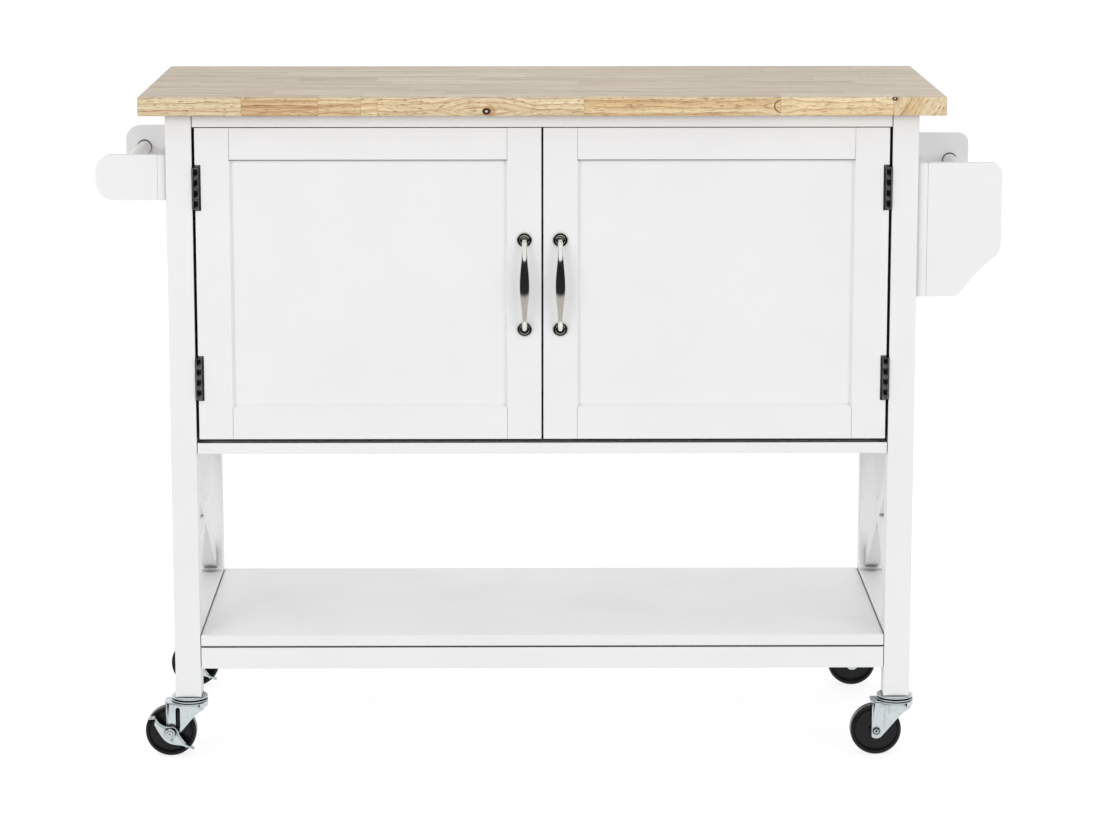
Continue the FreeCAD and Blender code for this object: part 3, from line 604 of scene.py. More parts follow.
@dataclass(frozen=True)
class SatinPaint:
    """White satin paint over fine-grained wood and board."""

    name: str = "satin_paint"
    colour: Colour = (0.838, 0.838, 0.842)
    shade: Colour = (0.815, 0.815, 0.822)
    cloud_scale: float = 9
    roughness: float = 0.36
    peel_scale: float = 420
    fibre_scale: float = 900
    fibre_stretch: Triple = (1, 1, 0.06)
    fibre_share: float = 0.3
    orange_peel: float = 0.00003
    # Painted shade: the near-black colour, and the reaches and spans of the darkening in lines, corners and
    # gaps.
    painted_shade: Colour = (0.035, 0.035, 0.038)
    shade_reach: float = 0.007
    line_span: Quad = (0.15, 0.42, 0.9, 0)
    corner_shade_span: Quad = (0.42, 0.80, 0.36, 0)
    gap_shade_reach: float = 0.020
    gap_shade_span: Quad = (0.28, 0.46, 0.95, 0)

    def make(self) -> Material:
        """Build the material, with painted shade that darkens fine lines, corners and narrow gaps.

        Returns:
            The material.
        """
        graph = Graph(self.name)
        place = graph.place()
        cloud = graph.noise(place, self.cloud_scale, 4)
        peel = graph.noise(place, self.peel_scale, 2)
        fibre = graph.noise(graph.scaled(place, self.fibre_stretch), self.fibre_scale, 2)
        graph.relief(graph.calc("MULTIPLY_ADD", fibre, self.fibre_share, peel), self.orange_peel, 0.6)
        tint = graph.blend(graph.span(cloud, 0.35, 0.7), solid(self.colour), solid(self.shade))
        # Painted shade: where ambient occlusion finds fine lines, inside corners and narrow gaps, the colour
        # is mixed towards near-black.
        near, wide = graph.openness(self.shade_reach), graph.openness(self.gap_shade_reach)
        painted_shade_share = graph.calc("MAXIMUM", graph.span(near, *self.line_span), graph.span(near, *self.corner_shade_span))
        painted_shade_share = graph.calc("MAXIMUM", painted_shade_share, graph.span(wide, *self.gap_shade_span))
        tint = graph.blend(painted_shade_share, tint, solid(self.painted_shade))
        gloss = graph.span(cloud, 0.3, 0.7, self.roughness - 0.04, self.roughness + 0.06)
        return graph.finish(Base_Color=tint, Roughness=gloss, Specular_IOR_Level=0.4)


@dataclass(frozen=True)
class Knot:
    """A knot in the board's front edge.

    Its place is measured from the board's lower left corner. It has a dark core in a warm halo, or a dark
    ring, and it ends at the joint between two blocks that it lies beside.
    """

    along: float
    up: float
    core: float
    halo: float
    ring: float = 0.0
    until: float = 9.0


@dataclass(frozen=True)
class BlockBoard:
    """Clear-lacquered rubberwood, glued up from short staves, each with a grain of its own."""

    name: str = "block_board"
    pale: Colour = (0.665, 0.515, 0.295)
    cream: Colour = (0.765, 0.66, 0.46)
    tan: Colour = (0.62, 0.42, 0.215)
    russet: Colour = (0.40, 0.195, 0.085)
    pore: Colour = (0.24, 0.125, 0.055)
    bark: Colour = (0.028, 0.012, 0.008)
    # A grey beige painted reflection, mixed into the faces that look up.
    top_reflection: Colour = (0.55, 0.492, 0.425)
    top_reflection_share: float = 0.58
    knot_share: float = 0.65
    glue_share: float = 0.45
    streak_share: float = 0.55
    fibre_share: float = 0.36
    heart_spread: Triple = (0.6, 0.16, 0.16)
    heart_shift: Triple = (-0.3, -0.08, -0.08)
    ring_stretch: Triple = (0.22, 1, 1)
    ring_scale: float = 38
    ring_bend: float = 5.5
    band_scale: Triple = (1.4, 42, 42)
    streak_scale: Triple = (5, 240, 240)
    fibre_scale: Triple = (34, 1100, 1100)
    vessel_scale: Triple = (120, 760, 760)
    drift_scale: Triple = (2.6, 105, 1)
    line_scale: Triple = (5.5, 330, 1)
    grain_depth: float = 0.00006
    roughness: float = 0.42
    band_span: Pair = (0.3, 0.7)
    streak_span: Pair = (0.3, 0.75)
    lean_span: Quad = (0.35, 0.65, -0.5, 0.5)
    fibre_span: Quad = (0.32, 0.68, -0.5, 0.5)
    pore_span: Quad = (0.56, 0.68, 0, 0.8)
    late_span: Quad = (0.0, 0.7, 0.7, 1.0)
    late_power: float = 5.0
    glue_span: Quad = (0.0001, 0.0005, 1, 0)
    top_span: Pair = (0.5, 0.95)
    drift_span: Quad = (0.34, 0.66, 0.74, 1.16)
    line_span: Quad = (0.32, 0.68, 0.84, 1.11)
    knots: tuple[Knot, ...] = (
        Knot(along=0.461, up=0.0062, core=0.0040, halo=0.0115),
        Knot(along=0.8525, up=0.0125, core=0.0003, halo=0.0050, ring=0.0085, until=0.850),
        Knot(along=1.0008, up=0.0228, core=0.0026, halo=0.0044))

    def make(self) -> Material:
        """Build the material: each block's grain, then knots and joints, then the top, greyed by a painted
        reflection.

        Returns:
            The material.
        """
        graph = Graph(self.name)
        place = graph.place()
        seed, warmth, light = graph.parts(graph.attribute("block_look"))
        knot_near, knot_core, knot_pith, swirl = self.knot_fields(graph, place)
        turned_grain = {"Vector": graph.aim("ADD", place, swirl), "Axis": (0, 1, 0),
                        "Angle": graph.attribute("block_turn", "Fac")}
        bent = graph.add("ShaderNodeVectorRotate", turned_grain, rotation_type="AXIS_ANGLE")
        offset = graph.calc("MULTIPLY", seed, 40.0)
        band = graph.noise(graph.scaled(bent, self.band_scale), 1, 3, offset)
        streak = graph.noise(graph.scaled(bent, self.streak_scale), 1, 3, offset)
        fibre = graph.noise(graph.scaled(bent, self.fibre_scale), 1, 3, offset)
        vessel = graph.noise(graph.scaled(bent, self.vessel_scale), 1, 2, offset)
        pores = graph.span(vessel, *self.pore_span)
        wood = graph.blend(graph.span(band, *self.band_span), solid(self.pale), solid(self.cream))
        warm = graph.blend(graph.span(streak, *self.streak_span), solid(self.tan), solid(self.russet))
        lean = graph.span(streak, *self.lean_span)
        lean = graph.calc("MULTIPLY_ADD", lean, self.streak_share, warmth, clamp=True)
        wood = graph.blend(lean, wood, warm)
        late = graph.calc("POWER", self.year_rings(graph, bent, seed), self.late_power)
        late = graph.calc("MULTIPLY", late, graph.span(warmth, *self.late_span))
        wood = graph.blend(late, wood, solid(self.russet))
        wood = graph.blend(pores, wood, solid(self.pore))
        wood = graph.blend(graph.calc("MULTIPLY", knot_near, self.knot_share), wood, solid(self.russet))
        wood = graph.blend(knot_core, wood, solid(self.bark))
        wood = graph.blend(knot_pith, wood, solid(self.cream))
        joints = graph.calc("MULTIPLY", self.glue_lines(graph, place), self.glue_share)
        wood = graph.blend(joints, wood, solid(self.pore))
        # Painted reflection: faces that look up are greyed towards a beige sheen.
        facing = graph.parts(graph.add("ShaderNodeTexCoord", {}, "Normal"))
        above = graph.span(facing[2], *self.top_span)
        wood = graph.blend(graph.calc("MULTIPLY", above, self.top_reflection_share), wood, solid(self.top_reflection))
        shade = graph.calc("MULTIPLY_ADD", graph.span(fibre, *self.fibre_span), self.fibre_share, light)
        shade = graph.calc("MULTIPLY", shade, graph.blend_value(above, 1.0, self.top_streaks(graph, place)))
        tone = graph.add("ShaderNodeCombineXYZ", {0: shade, 1: shade, 2: shade})
        wood = graph.blend(1.0, wood, tone, "MULTIPLY")
        graph.relief(graph.calc("SUBTRACT", fibre, pores), self.grain_depth, 0.7)
        gloss = graph.span(streak, 0.3, 0.7, self.roughness - 0.05, self.roughness + 0.07)
        return graph.finish(Base_Color=wood, Roughness=gloss, Specular_IOR_Level=0.2)

    def year_rings(self, graph: Graph, place: Socket, seed: Socket) -> Socket:
        """The year rings, about a heart that each block has somewhere beside it.

        Args:
            graph: The material's nodes.
            place: The place on the board, with the grain's bends.
            seed: The block's own number.

        Returns:
            The rings as a saw from 0 to 1.
        """
        jitter = graph.add("ShaderNodeTexWhiteNoise", {"W": graph.calc("MULTIPLY", seed, 91.7)}, "Color",
                           noise_dimensions="1D")
        heart = graph.aim("MULTIPLY_ADD", jitter, self.heart_spread)
        heart.node.inputs[2].default_value = self.heart_shift
        beside = graph.scaled(graph.aim("ADD", place, heart), self.ring_stretch)
        wave = {"Vector": beside, "Scale": self.ring_scale, "Distortion": self.ring_bend, "Detail": 3,
                "Detail Scale": 1.3, "Detail Roughness": 0.55}
        return graph.add("ShaderNodeTexWave", wave, "Fac", wave_type="RINGS", rings_direction="X",
                         wave_profile="SAW")

    def top_streaks(self, graph: Graph, place: Socket) -> Socket:
        """Long soft lighter and darker lines along the top.

        Args:
            graph: The material's nodes.
            place: The place on the board.

        Returns:
            How bright the top is, about 1.
        """
        drift = graph.noise(graph.scaled(place, self.drift_scale), 1, 4, 7.0, 0.62)
        lines = graph.noise(graph.scaled(place, self.line_scale), 1, 3, 3.0)
        return graph.calc("MULTIPLY", graph.span(drift, *self.drift_span), graph.span(lines, *self.line_span))

    def knot_fields(self, graph: Graph, place: Socket) -> tuple[Socket, Socket, Socket, Socket]:
        """Where the knots colour the wood and bend its grain.

        Args:
            graph: The material's nodes.
            place: The place on the board.

        Returns:
            The halo's share, the dark core's share, the pale middle's share, and the grain's push aside.
        """
        low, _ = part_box("worktop")
        near, core, pith, push = 0.0, 0.0, 0.0, (0.0, 0.0, 0.0)
        for knot in self.knots:
            middle = (low.x + knot.along, low.y, low.z + knot.up)
            away = graph.aim("SUBTRACT", place, middle)
            reach = graph.length(graph.scaled(away, (0.8, 0.8, 1)))
            owned = graph.calc("LESS_THAN", graph.parts(place)[0], low.x + knot.until)
            beside = graph.aim("SUBTRACT", place, (middle[0] + knot.core, middle[1], middle[2]))
            halo = graph.span(graph.length(beside), knot.core, knot.halo, 1, 0, "SMOOTHSTEP")
            near = graph.calc("MAXIMUM", near, graph.calc("MULTIPLY", halo, owned))
            dark = graph.span(reach, knot.core * 0.95, knot.core * 1.25, 1, 0)
            pale = graph.span(reach, knot.core * 0.28, knot.core * 0.48, 0.85, 0)
            pith = graph.calc("MAXIMUM", pith, pale)
            if knot.ring:
                off = graph.calc("ABSOLUTE", graph.calc("SUBTRACT", reach, knot.ring))
                dark = graph.calc("MAXIMUM", dark, graph.span(off, 0.0003, 0.0011, 0.8, 0))
            core = graph.calc("MAXIMUM", core, graph.calc("MULTIPLY", dark, owned))
            lift = graph.span(reach, knot.halo, knot.halo * 5, knot.halo, 0, "SMOOTHSTEP")
            aside = graph.aim("NORMALIZE", graph.aim("MULTIPLY", away, (0, 1, 1)), (0, 0, 0))
            scaled = graph.add("ShaderNodeVectorMath", {0: aside, "Scale": lift}, operation="SCALE")
            push = graph.aim("SUBTRACT", push, scaled)
        return near, core, pith, push

    def glue_lines(self, graph: Graph, place: Socket) -> Socket:
        """One on the joints between blocks, and zero away from them.

        Args:
            graph: The material's nodes.
            place: The place on the board.

        Returns:
            The lines' share.
        """
        from_low = graph.parts(graph.aim("SUBTRACT", place, graph.attribute("block_low")))
        from_high = graph.parts(graph.aim("SUBTRACT", graph.attribute("block_high"), place))
        near = graph.calc("MINIMUM", graph.calc("MINIMUM", from_low[0], from_low[1]),
                          graph.calc("MINIMUM", from_high[0], from_high[1]))
        return graph.span(near, *self.glue_span)


@dataclass(frozen=True)
class Metal:
    """A bare or plated metal with fine wear in its gloss."""

    name: str
    colour: Colour
    dull: Colour
    roughness: float
    spread: float
    # The near-black colour of the painted shade in crevices.
    painted_shade: Colour = (0.02, 0.022, 0.024)
    shade_reach: float = 0.0
    cloud_scale: float = 160
    scratch_scale: float = 2600
    scratch_depth: float = 0.00001

    def make(self) -> Material:
        """Build the material, with painted shade in crevices where it has a reach for them.

        Returns:
            The material.
        """
        graph = Graph(self.name)
        place = graph.place()
        cloud = graph.noise(place, self.cloud_scale, 4)
        scratch = graph.noise(place, self.scratch_scale, 2)
        tint = graph.blend(graph.span(cloud, 0.35, 0.7), solid(self.colour), solid(self.dull))
        # Painted shade: crevices that ambient occlusion finds within the reach are mixed towards near-black.
        if self.shade_reach:
            closed = graph.span(graph.openness(self.shade_reach), 0.5, 0.92, 1, 0)
            tint = graph.blend(closed, tint, solid(self.painted_shade))
        gloss = graph.span(scratch, 0.25, 0.75, self.roughness - self.spread, self.roughness + self.spread)
        graph.relief(scratch, self.scratch_depth, 0.5)
        return graph.finish(Base_Color=tint, Roughness=gloss, Metallic=1.0)


@dataclass(frozen=True)
class Moulded:
    """Moulded plastic or rubber with a faint grain."""

    name: str
    colour: Colour
    scuffed: Colour
    roughness: float
    gloss: float = 0.5
    cloud_scale: float = 70
    grain_scale: float = 1800
    grain_depth: float = 0.00002

    def make(self) -> Material:
        """Build the material.

        Returns:
            The material.
        """
        graph = Graph(self.name)
        place = graph.place()
        cloud = graph.noise(place, self.cloud_scale, 4)
        pebble = graph.noise(place, self.grain_scale, 2)
        tint = graph.blend(graph.span(cloud, 0.45, 0.75), solid(self.colour), solid(self.scuffed))
        gloss = graph.span(cloud, 0.3, 0.7, self.roughness - 0.05, self.roughness + 0.08)
        graph.relief(pebble, self.grain_depth, 0.5)
        return graph.finish(Base_Color=tint, Roughness=gloss, Specular_IOR_Level=self.gloss)


class Slot(Enum):
    """The record's material slots, each with the finish that its pieces wear."""

    WHITE_PAINT = ("white_paint", SatinPaint())
    WORKTOP = ("worktop_wood", BlockBoard())
    # Nickel, hinge steel and zinc have painted shade in their crevices, out to the reach given.
    NICKEL = ("polished_nickel", Metal("polished_nickel", colour=(0.83, 0.815, 0.79),
                                       dull=(0.76, 0.745, 0.715), roughness=0.075, spread=0.025,
                                       shade_reach=0.0022))
    HINGE = ("hinge_steel", Metal("hinge_steel", colour=(0.20, 0.20, 0.20), dull=(0.13, 0.13, 0.13),
                                  roughness=0.14, spread=0.04, shade_reach=0.0025))
    ZINC = ("zinc_steel", Metal("zinc_plate", colour=(0.62, 0.675, 0.69), dull=(0.56, 0.61, 0.63),
                                roughness=0.17, spread=0.05, shade_reach=0.0045))
    BRIGHT = ("bright_steel", Metal("bright_steel", colour=(0.60, 0.60, 0.59), dull=(0.50, 0.50, 0.49),
                                    roughness=0.28, spread=0.06))
    SCREW = ("screw_steel", Metal("screw_steel", colour=(0.13, 0.13, 0.125), dull=(0.08, 0.08, 0.075),
                                  roughness=0.34, spread=0.06))
    WHEEL = ("wheel_rubber", Moulded("wheel_rubber", colour=(0.0045, 0.0045, 0.0055),
                                     scuffed=(0.008, 0.008, 0.0095), roughness=0.17, gloss=0.24))
    CATCH = ("catch_plastic", Moulded("catch_plastic", colour=(0.80, 0.80, 0.79), scuffed=(0.76, 0.76, 0.745),
                                      roughness=0.42))

    def __init__(self, slot: str, finish: SatinPaint | BlockBoard | Metal | Moulded) -> None:
        """Keep the slot's name and its finish.

        Args:
            slot: The name in the record.
            finish: What the slot's pieces look like.
        """
        self.slot = slot
        self.finish = finish


class Wardrobe:
    """Makes each finish once and dresses pieces with it."""

    def __init__(self) -> None:
        """Make every slot's material."""
        self.materials = {slot: slot.finish.make() for slot in Slot}

    def put_on(self, piece: Piece, slot: Slot) -> None:
        """Give a piece a slot's material."""
        piece.data.materials.clear()
        piece.data.materials.append(self.materials[slot])

    def dress_nodes(self) -> None:
        """Give every node of the frame the finish of its slot in the record."""
        by_name = {slot.slot: slot for slot in Slot}
        for subpart in frame["record"]["subparts"]:
            node = frame["nodes"][subpart["node"]]
            self.put_on(node, by_name[subpart["material_slot"]])
            log.info("dressed node %s", node.name)

    def add_piece(self, piece: Piece, body: str, slot: Slot, *nodes: str) -> None:
        """Dress a new piece and tie it to the frame.

        Args:
            piece: The finished piece.
            body: The body that it moves with.
            slot: The slot that its finish comes from.
            nodes: The nodes that it stands for.
        """
        self.put_on(piece, slot)
        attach(piece, body)
        if nodes:
            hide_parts(*nodes)
        log.info("made %s: %d faces on %s", piece.name, len(piece.data.polygons), body)


# The cart's own pieces


@dataclass
class Worktop:
    """The board on top, glued up from staves that are each a row of short blocks."""

    stave_count: int = 10
    ease_width: float = 0.0014
    front_joints: tuple[float, ...] = (0.137, 0.238, 0.295, 0.317, 0.590, 0.850, 0.999)
    front_warmths: tuple[float, ...] = (0.10, 0.66, 0.38, 0.02, 0.06, 0.34, 0.0, 0.22)
    front_lights: tuple[float, ...] = (0.99, 1.06, 1.07, 1.07, 1.03, 1.09, 1.14, 1.07)
    end_grain_turn: float = 1.05
    shortest: float = 0.095
    longest: float = 0.34
    least_end: float = 0.038
    warmth_middle: float = 0.16
    warmth_spread: float = 0.19
    warmest: float = 0.75
    lights: Pair = (0.91, 1.06)
    slack: float = 1e-5
    seed: int = 11

    def rows(self, length: float) -> list[list[float]]:
        """Where the blocks of each stave meet.

        Args:
            length: The board's length.

        Returns:
            For each stave its joints, measured from the board's left end.
        """
        chance = random.Random(self.seed)
        rows = [list(self.front_joints)]
        for _ in range(1, self.stave_count):
            joints, here = [], chance.uniform(self.least_end, self.longest)
            while here < length - self.least_end:
                joints.append(here)
                here += chance.uniform(self.shortest, self.longest)
            rows.append(joints)
        return rows

    def build(self, wardrobe: Wardrobe) -> None:
        """Make the board, split it into blocks and note each block's look on its faces."""
        low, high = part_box("worktop")
        board = block("worktop_board", low, high)
        pitch = (high.y - low.y) / self.stave_count
        rows = self.rows(high.x - low.x)
        with editing(board):
            for stave in range(1, self.stave_count):
                bpy.ops.mesh.select_all(action="SELECT")
                bpy.ops.mesh.bisect(plane_co=(0, low.y + stave * pitch, 0), plane_no=BACK)
            for stave, joints in enumerate(rows):
                near = low.y + stave * pitch - self.slack
                far = low.y + (stave + 1) * pitch + self.slack
                for joint in joints:
                    pick_faces(board, lambda face: near <= face.calc_center_median().y <= far
                               and abs(face.normal.x) < 0.5)
                    bpy.ops.mesh.bisect(plane_co=(low.x + joint, 0, 0), plane_no=ALONG)
        ease(board, self.ease_width, 3, 60)
        self.note_blocks(board, low, high, rows)
        smooth(board, 50)
        wardrobe.add_piece(board, "frame", Slot.WORKTOP, "worktop")

    def looks(self, rows: list[list[float]]) -> dict[tuple[int, int], Triple]:
        """Draw how each block looks.

        Args:
            rows: Each stave's joints.

        Returns:
            Each block's own number, warmth and light, by its stave and its place in the stave.
        """
        chance = random.Random(self.seed + 1)
        looks = {}
        for stave, joints in enumerate(rows):
            for index in range(len(joints) + 1):
                seed = chance.random()
                warmth = max(0.0, chance.gauss(self.warmth_middle, self.warmth_spread))
                light = chance.uniform(*self.lights)
                if stave == 0:
                    warmth, light = self.front_warmths[index], self.front_lights[index]
                looks[stave, index] = (seed, min(warmth, self.warmest), light)
        return looks

    def note_blocks(self, board: Piece, low: Vector, high: Vector, rows: list[list[float]]) -> None:
        """Write each face's block, with its ends and its look, into the mesh.

        Args:
            board: The board.
            low: The board's lowest corner.
            high: The board's highest corner.
            rows: Each stave's joints.
        """
        pitch = (high.y - low.y) / self.stave_count
        beyond = high.x - low.x
        looks = self.looks(rows)
        values = {"block_look": [], "block_low": [], "block_high": []}
        turns = []
        for face in board.data.polygons:
            stave = min(max(int((face.center.y - low.y) / pitch), 0), self.stave_count - 1)
            joints = rows[stave]
            index = sum(joint < face.center.x - low.x for joint in joints)
            values["block_look"] += looks[stave, index]
            turns.append(self.end_grain_turn if (stave, index) == (0, len(joints)) else 0.0)
            x_low = joints[index - 1] if index else -beyond
            x_high = joints[index] if index < len(joints) else 2 * beyond
            y_low = stave * pitch if stave else -beyond
            y_high = (stave + 1) * pitch if stave < self.stave_count - 1 else beyond
            values["block_low"] += (low.x + x_low, low.y + y_low, 0)
            values["block_high"] += (low.x + x_high, low.y + y_high, 0)
        for name, numbers in values.items():
            board.data.attributes.new(name, "FLOAT_VECTOR", "FACE").data.foreach_set("vector", numbers)
        board.data.attributes.new("block_turn", "FLOAT", "FACE").data.foreach_set("value", turns)


class Side(Enum):
    """The cart's left and right."""

    LEFT = "left"
    RIGHT = "right"

    def flip(self, middle: float) -> Matrix:
        """The matrix that takes a right-hand piece to this side."""
        if self is Side.RIGHT:
            return Matrix.Identity(4)
        return Matrix.Translation((2 * middle, 0, 0)) @ Matrix.Scale(-1, 4, ALONG)


@dataclass
class BowHandle:
    """A polished bow handle: a stepped rosette at each end and one flowing bow."""

    middle: float = DOORS_MIDDLE
    rosette_radius: float = 0.0102
    arch_power: float = 0.28
    neck: Pair = (0.0033, 0.0030)
    belly: Pair = (0.0070, 0.0038)
    belly_power: float = 3.4
    upper_belly_power: float = 2.2
    fine_steps: int = 1500
    ring_count: int = 56
    rosette: Outline = (
        (0, 0), (0.0102, 0), (0.0102, 0.0016), (0.0100, 0.0021), (0.0096, 0.0024), (0.0092, 0.0023),
        (0.0089, 0.0018), (0.0087, 0.0008), (0.0085, 0.0006), (0.0070, 0.0006), (0.0068, 0.0008),
        (0.0067, 0.0030), (0.0065, 0.0035), (0.0061, 0.0037), (0.0057, 0.0036), (0.0054, 0.0032),
        (0.0052, 0.0031), (0.0050, 0.0034), (0.0047, 0.0044), (0.0042, 0.0056), (0.0037, 0.0070),
        (0.0033, 0.0086), (0, 0.0086))

    def __post_init__(self) -> None:
        """Read the bow's place and reach from the frame's right-hand handle."""
        low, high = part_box("right_door_handle")
        self.offset = (low.x + high.x) / 2 - self.middle
        self.face = high.y
        self.reach = high.y - low.y - self.belly[1]
        self.heights = (low.z + self.rosette_radius, high.z - self.rosette_radius)

    def path(self) -> list[tuple[Vector, float]]:
        """Even steps along the bow.

        Returns:
            Each step's place and its share of the way up.
        """
        low, high = self.heights
        fine = self.fine_steps
        places = []
        for step in range(fine + 1):
            share = step / fine
            lift = math.sin(math.pi * share) ** self.arch_power if 0 < step < fine else 0.0
            place = (self.middle + self.offset, self.face - self.reach * lift, low + (high - low) * share)
            places.append((Vector(place), share))
        run = [0.0]
        for (before, _), (after, _) in zip(places, places[1:]):
            run.append(run[-1] + (after - before).length)
        chosen, index = [], 0
        for ring in range(self.ring_count):
            goal = run[-1] * ring / (self.ring_count - 1)
            while index < fine and run[index] < goal:
                index += 1
            chosen.append(places[index])
        return chosen

    def rings(self) -> list[Matrix]:
        """The bow's sections, each square to the path and swelling to the belly.

        Returns:
            For each section the matrix that takes a unit circle to it.
        """
        steps = self.path()
        rings = []
        for index, (place, share) in enumerate(steps):
            before = steps[max(index - 1, 0)][0]
            after = steps[min(index + 1, len(steps) - 1)][0]
            heading = (after - before).normalized()
            if index in (0, len(steps) - 1):
                heading = FRONT if index == 0 else BACK
            outward = ALONG.cross(heading)
            swell = math.sin(math.pi * share) ** (self.belly_power if share < 0.5 else self.upper_belly_power)
            width = self.neck[0] + (self.belly[0] - self.neck[0]) * swell
            depth = self.neck[1] + (self.belly[1] - self.neck[1]) * swell
            turn = Matrix((ALONG * width, outward * depth, heading)).transposed().to_4x4()
            rings.append(Matrix.Translation(place) @ turn)
        return rings

    def build(self, wardrobe: Wardrobe) -> None:
        """Make a handle and copy it to both doors."""
        parts = [swept("handle_bow", self.rings(), 36)]
        for height in self.heights:
            centre = Vector((self.middle + self.offset, self.face, height))
            parts.append(turned("handle_rosette", self.rosette, centre, FRONT, 64))
        handle = smooth(join(parts, "handle_right_bow"), 45)
        for side in Side:
            piece = copy_of(handle, f"bow_handle_{side.value}", side.flip(self.middle))
            wardrobe.add_piece(piece, f"{side.value}_door", Slot.NICKEL, f"{side.value}_door_handle")
        bpy.data.objects.remove(handle)


@dataclass
class ButtHinge:
    """A butt hinge: two comb-edged leaves whose knuckles alternate round a pin."""

    middle: float = DOORS_MIDDLE
    axis_offset: float = 0.4622
    axis_y: float = -0.2035
    length: float = 0.057
    knuckles: int = 4
    radius: float = 0.00425
    gap: float = 0.0004
    bore_room: float = 0.00005
    pin_radius: float = 0.0020
    pin_end: float = 0.0008
    edge: float = 0.0005
    sheet: float = 0.0014
    leaf_width: float = 0.0170
    frame_leaf_offset: float = 0.4656
    door_leaf_offset: float = 0.4632

    def __post_init__(self) -> None:
        """Read the barrels' lower ends from the frame's pins."""
        low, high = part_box("hinge_pins")
        self.lows = (low.z + self.pin_end, high.z - self.pin_end - self.length)

    def knuckle(self, low: float, high: float) -> Piece:
        """One bored knuckle of the barrel, its edges eased.

        Args:
            low: The knuckle's lower end.
            high: Its upper end.

        Returns:
            The knuckle, on the right-hand side.
        """
        wall, length, edge, near = self.pin_radius + self.bore_room, high - low, self.edge, self.edge * 0.3
        profile = ((wall, 0), (self.radius - edge, 0), (self.radius - near, near), (self.radius, edge),
                   (self.radius, length - edge), (self.radius - near, length - near),
                   (self.radius - edge, length), (wall, length))
        centre = Vector((self.middle + self.axis_offset, self.axis_y, low))
        return turned("knuckle", profile, centre, UP, 40, True)

    def leaf(self, low: float, offset: float, first: int) -> Piece:
        """One leaf with its own knuckles.

        Args:
            low: The barrel's lower end.
            offset: The plate's inner face, from the cart's middle.
            first: The first knuckle that is this leaf's own.

        Returns:
            The leaf, on the right-hand side.
        """
        pitch = self.length / self.knuckles
        x_low = self.middle + offset
        x_high = x_low + self.sheet
        clear = self.axis_y + self.radius + self.gap
        back, top = self.axis_y + self.leaf_width, low + self.length
        parts = [block("leaf_plate", (x_low, clear, low), (x_high, back, top))]
        for index in range(first, self.knuckles, 2):
            z_low, z_high = low + index * pitch + self.gap / 2, low + (index + 1) * pitch - self.gap / 2
            parts.append(self.knuckle(z_low, z_high))
            root = self.axis_y + self.radius * 0.3
            parts.append(block("knuckle_root", (x_low, root, z_low), (x_high, clear + self.sheet, z_high)))
        return join(parts, "hinge_leaf")

    def pin(self, low: float) -> Piece:
        """The pin with its rounded ends.

        Args:
            low: The barrel's lower end.

        Returns:
            The pin, on the right-hand side.
        """
        end, radius = self.pin_end, self.pin_radius
        long = self.length + 2 * end
        dome = ((0, 0), (radius * 0.6, 0), (radius * 0.9, end * 0.3), (radius, end * 0.7))
        profile = [*dome, *[(across, long - along) for across, along in reversed(dome)]]
        centre = Vector((self.middle + self.axis_offset, self.axis_y, low - end))
        return turned("hinge_pin", profile, centre, UP, 32)

    def build(self, wardrobe: Wardrobe) -> None:
        """Make the leaves and pins of the right-hand door and copy them to the left."""
        frame_leaves = join([self.leaf(low, self.frame_leaf_offset, 1) for low in self.lows], "frame_leaves")
        door_leaves = join([self.leaf(low, self.door_leaf_offset, 0) for low in self.lows], "door_leaves")
        pins = join([self.pin(low) for low in self.lows], "pins")
        fixed, loose = [], []
        for side in Side:
            flip = side.flip(self.middle)
            fixed.append(copy_of(frame_leaves, f"leg_leaves_{side.value}", flip))
            loose.append(copy_of(pins, f"pins_{side.value}", flip))
            leaves = smooth(copy_of(door_leaves, f"door_leaves_{side.value}", flip), 30)
            wardrobe.add_piece(leaves, f"{side.value}_door", Slot.HINGE, f"{side.value}_door_hinge_leaves")
        leaves = smooth(join(fixed, "leg_hinge_leaves"), 30)
        wardrobe.add_piece(leaves, "frame", Slot.HINGE, "frame_hinge_leaves")
        wardrobe.add_piece(smooth(join(loose, "hinge_barrel_pins"), 30), "frame", Slot.HINGE, "hinge_pins")
        for source in (frame_leaves, door_leaves, pins):
            bpy.data.objects.remove(source)


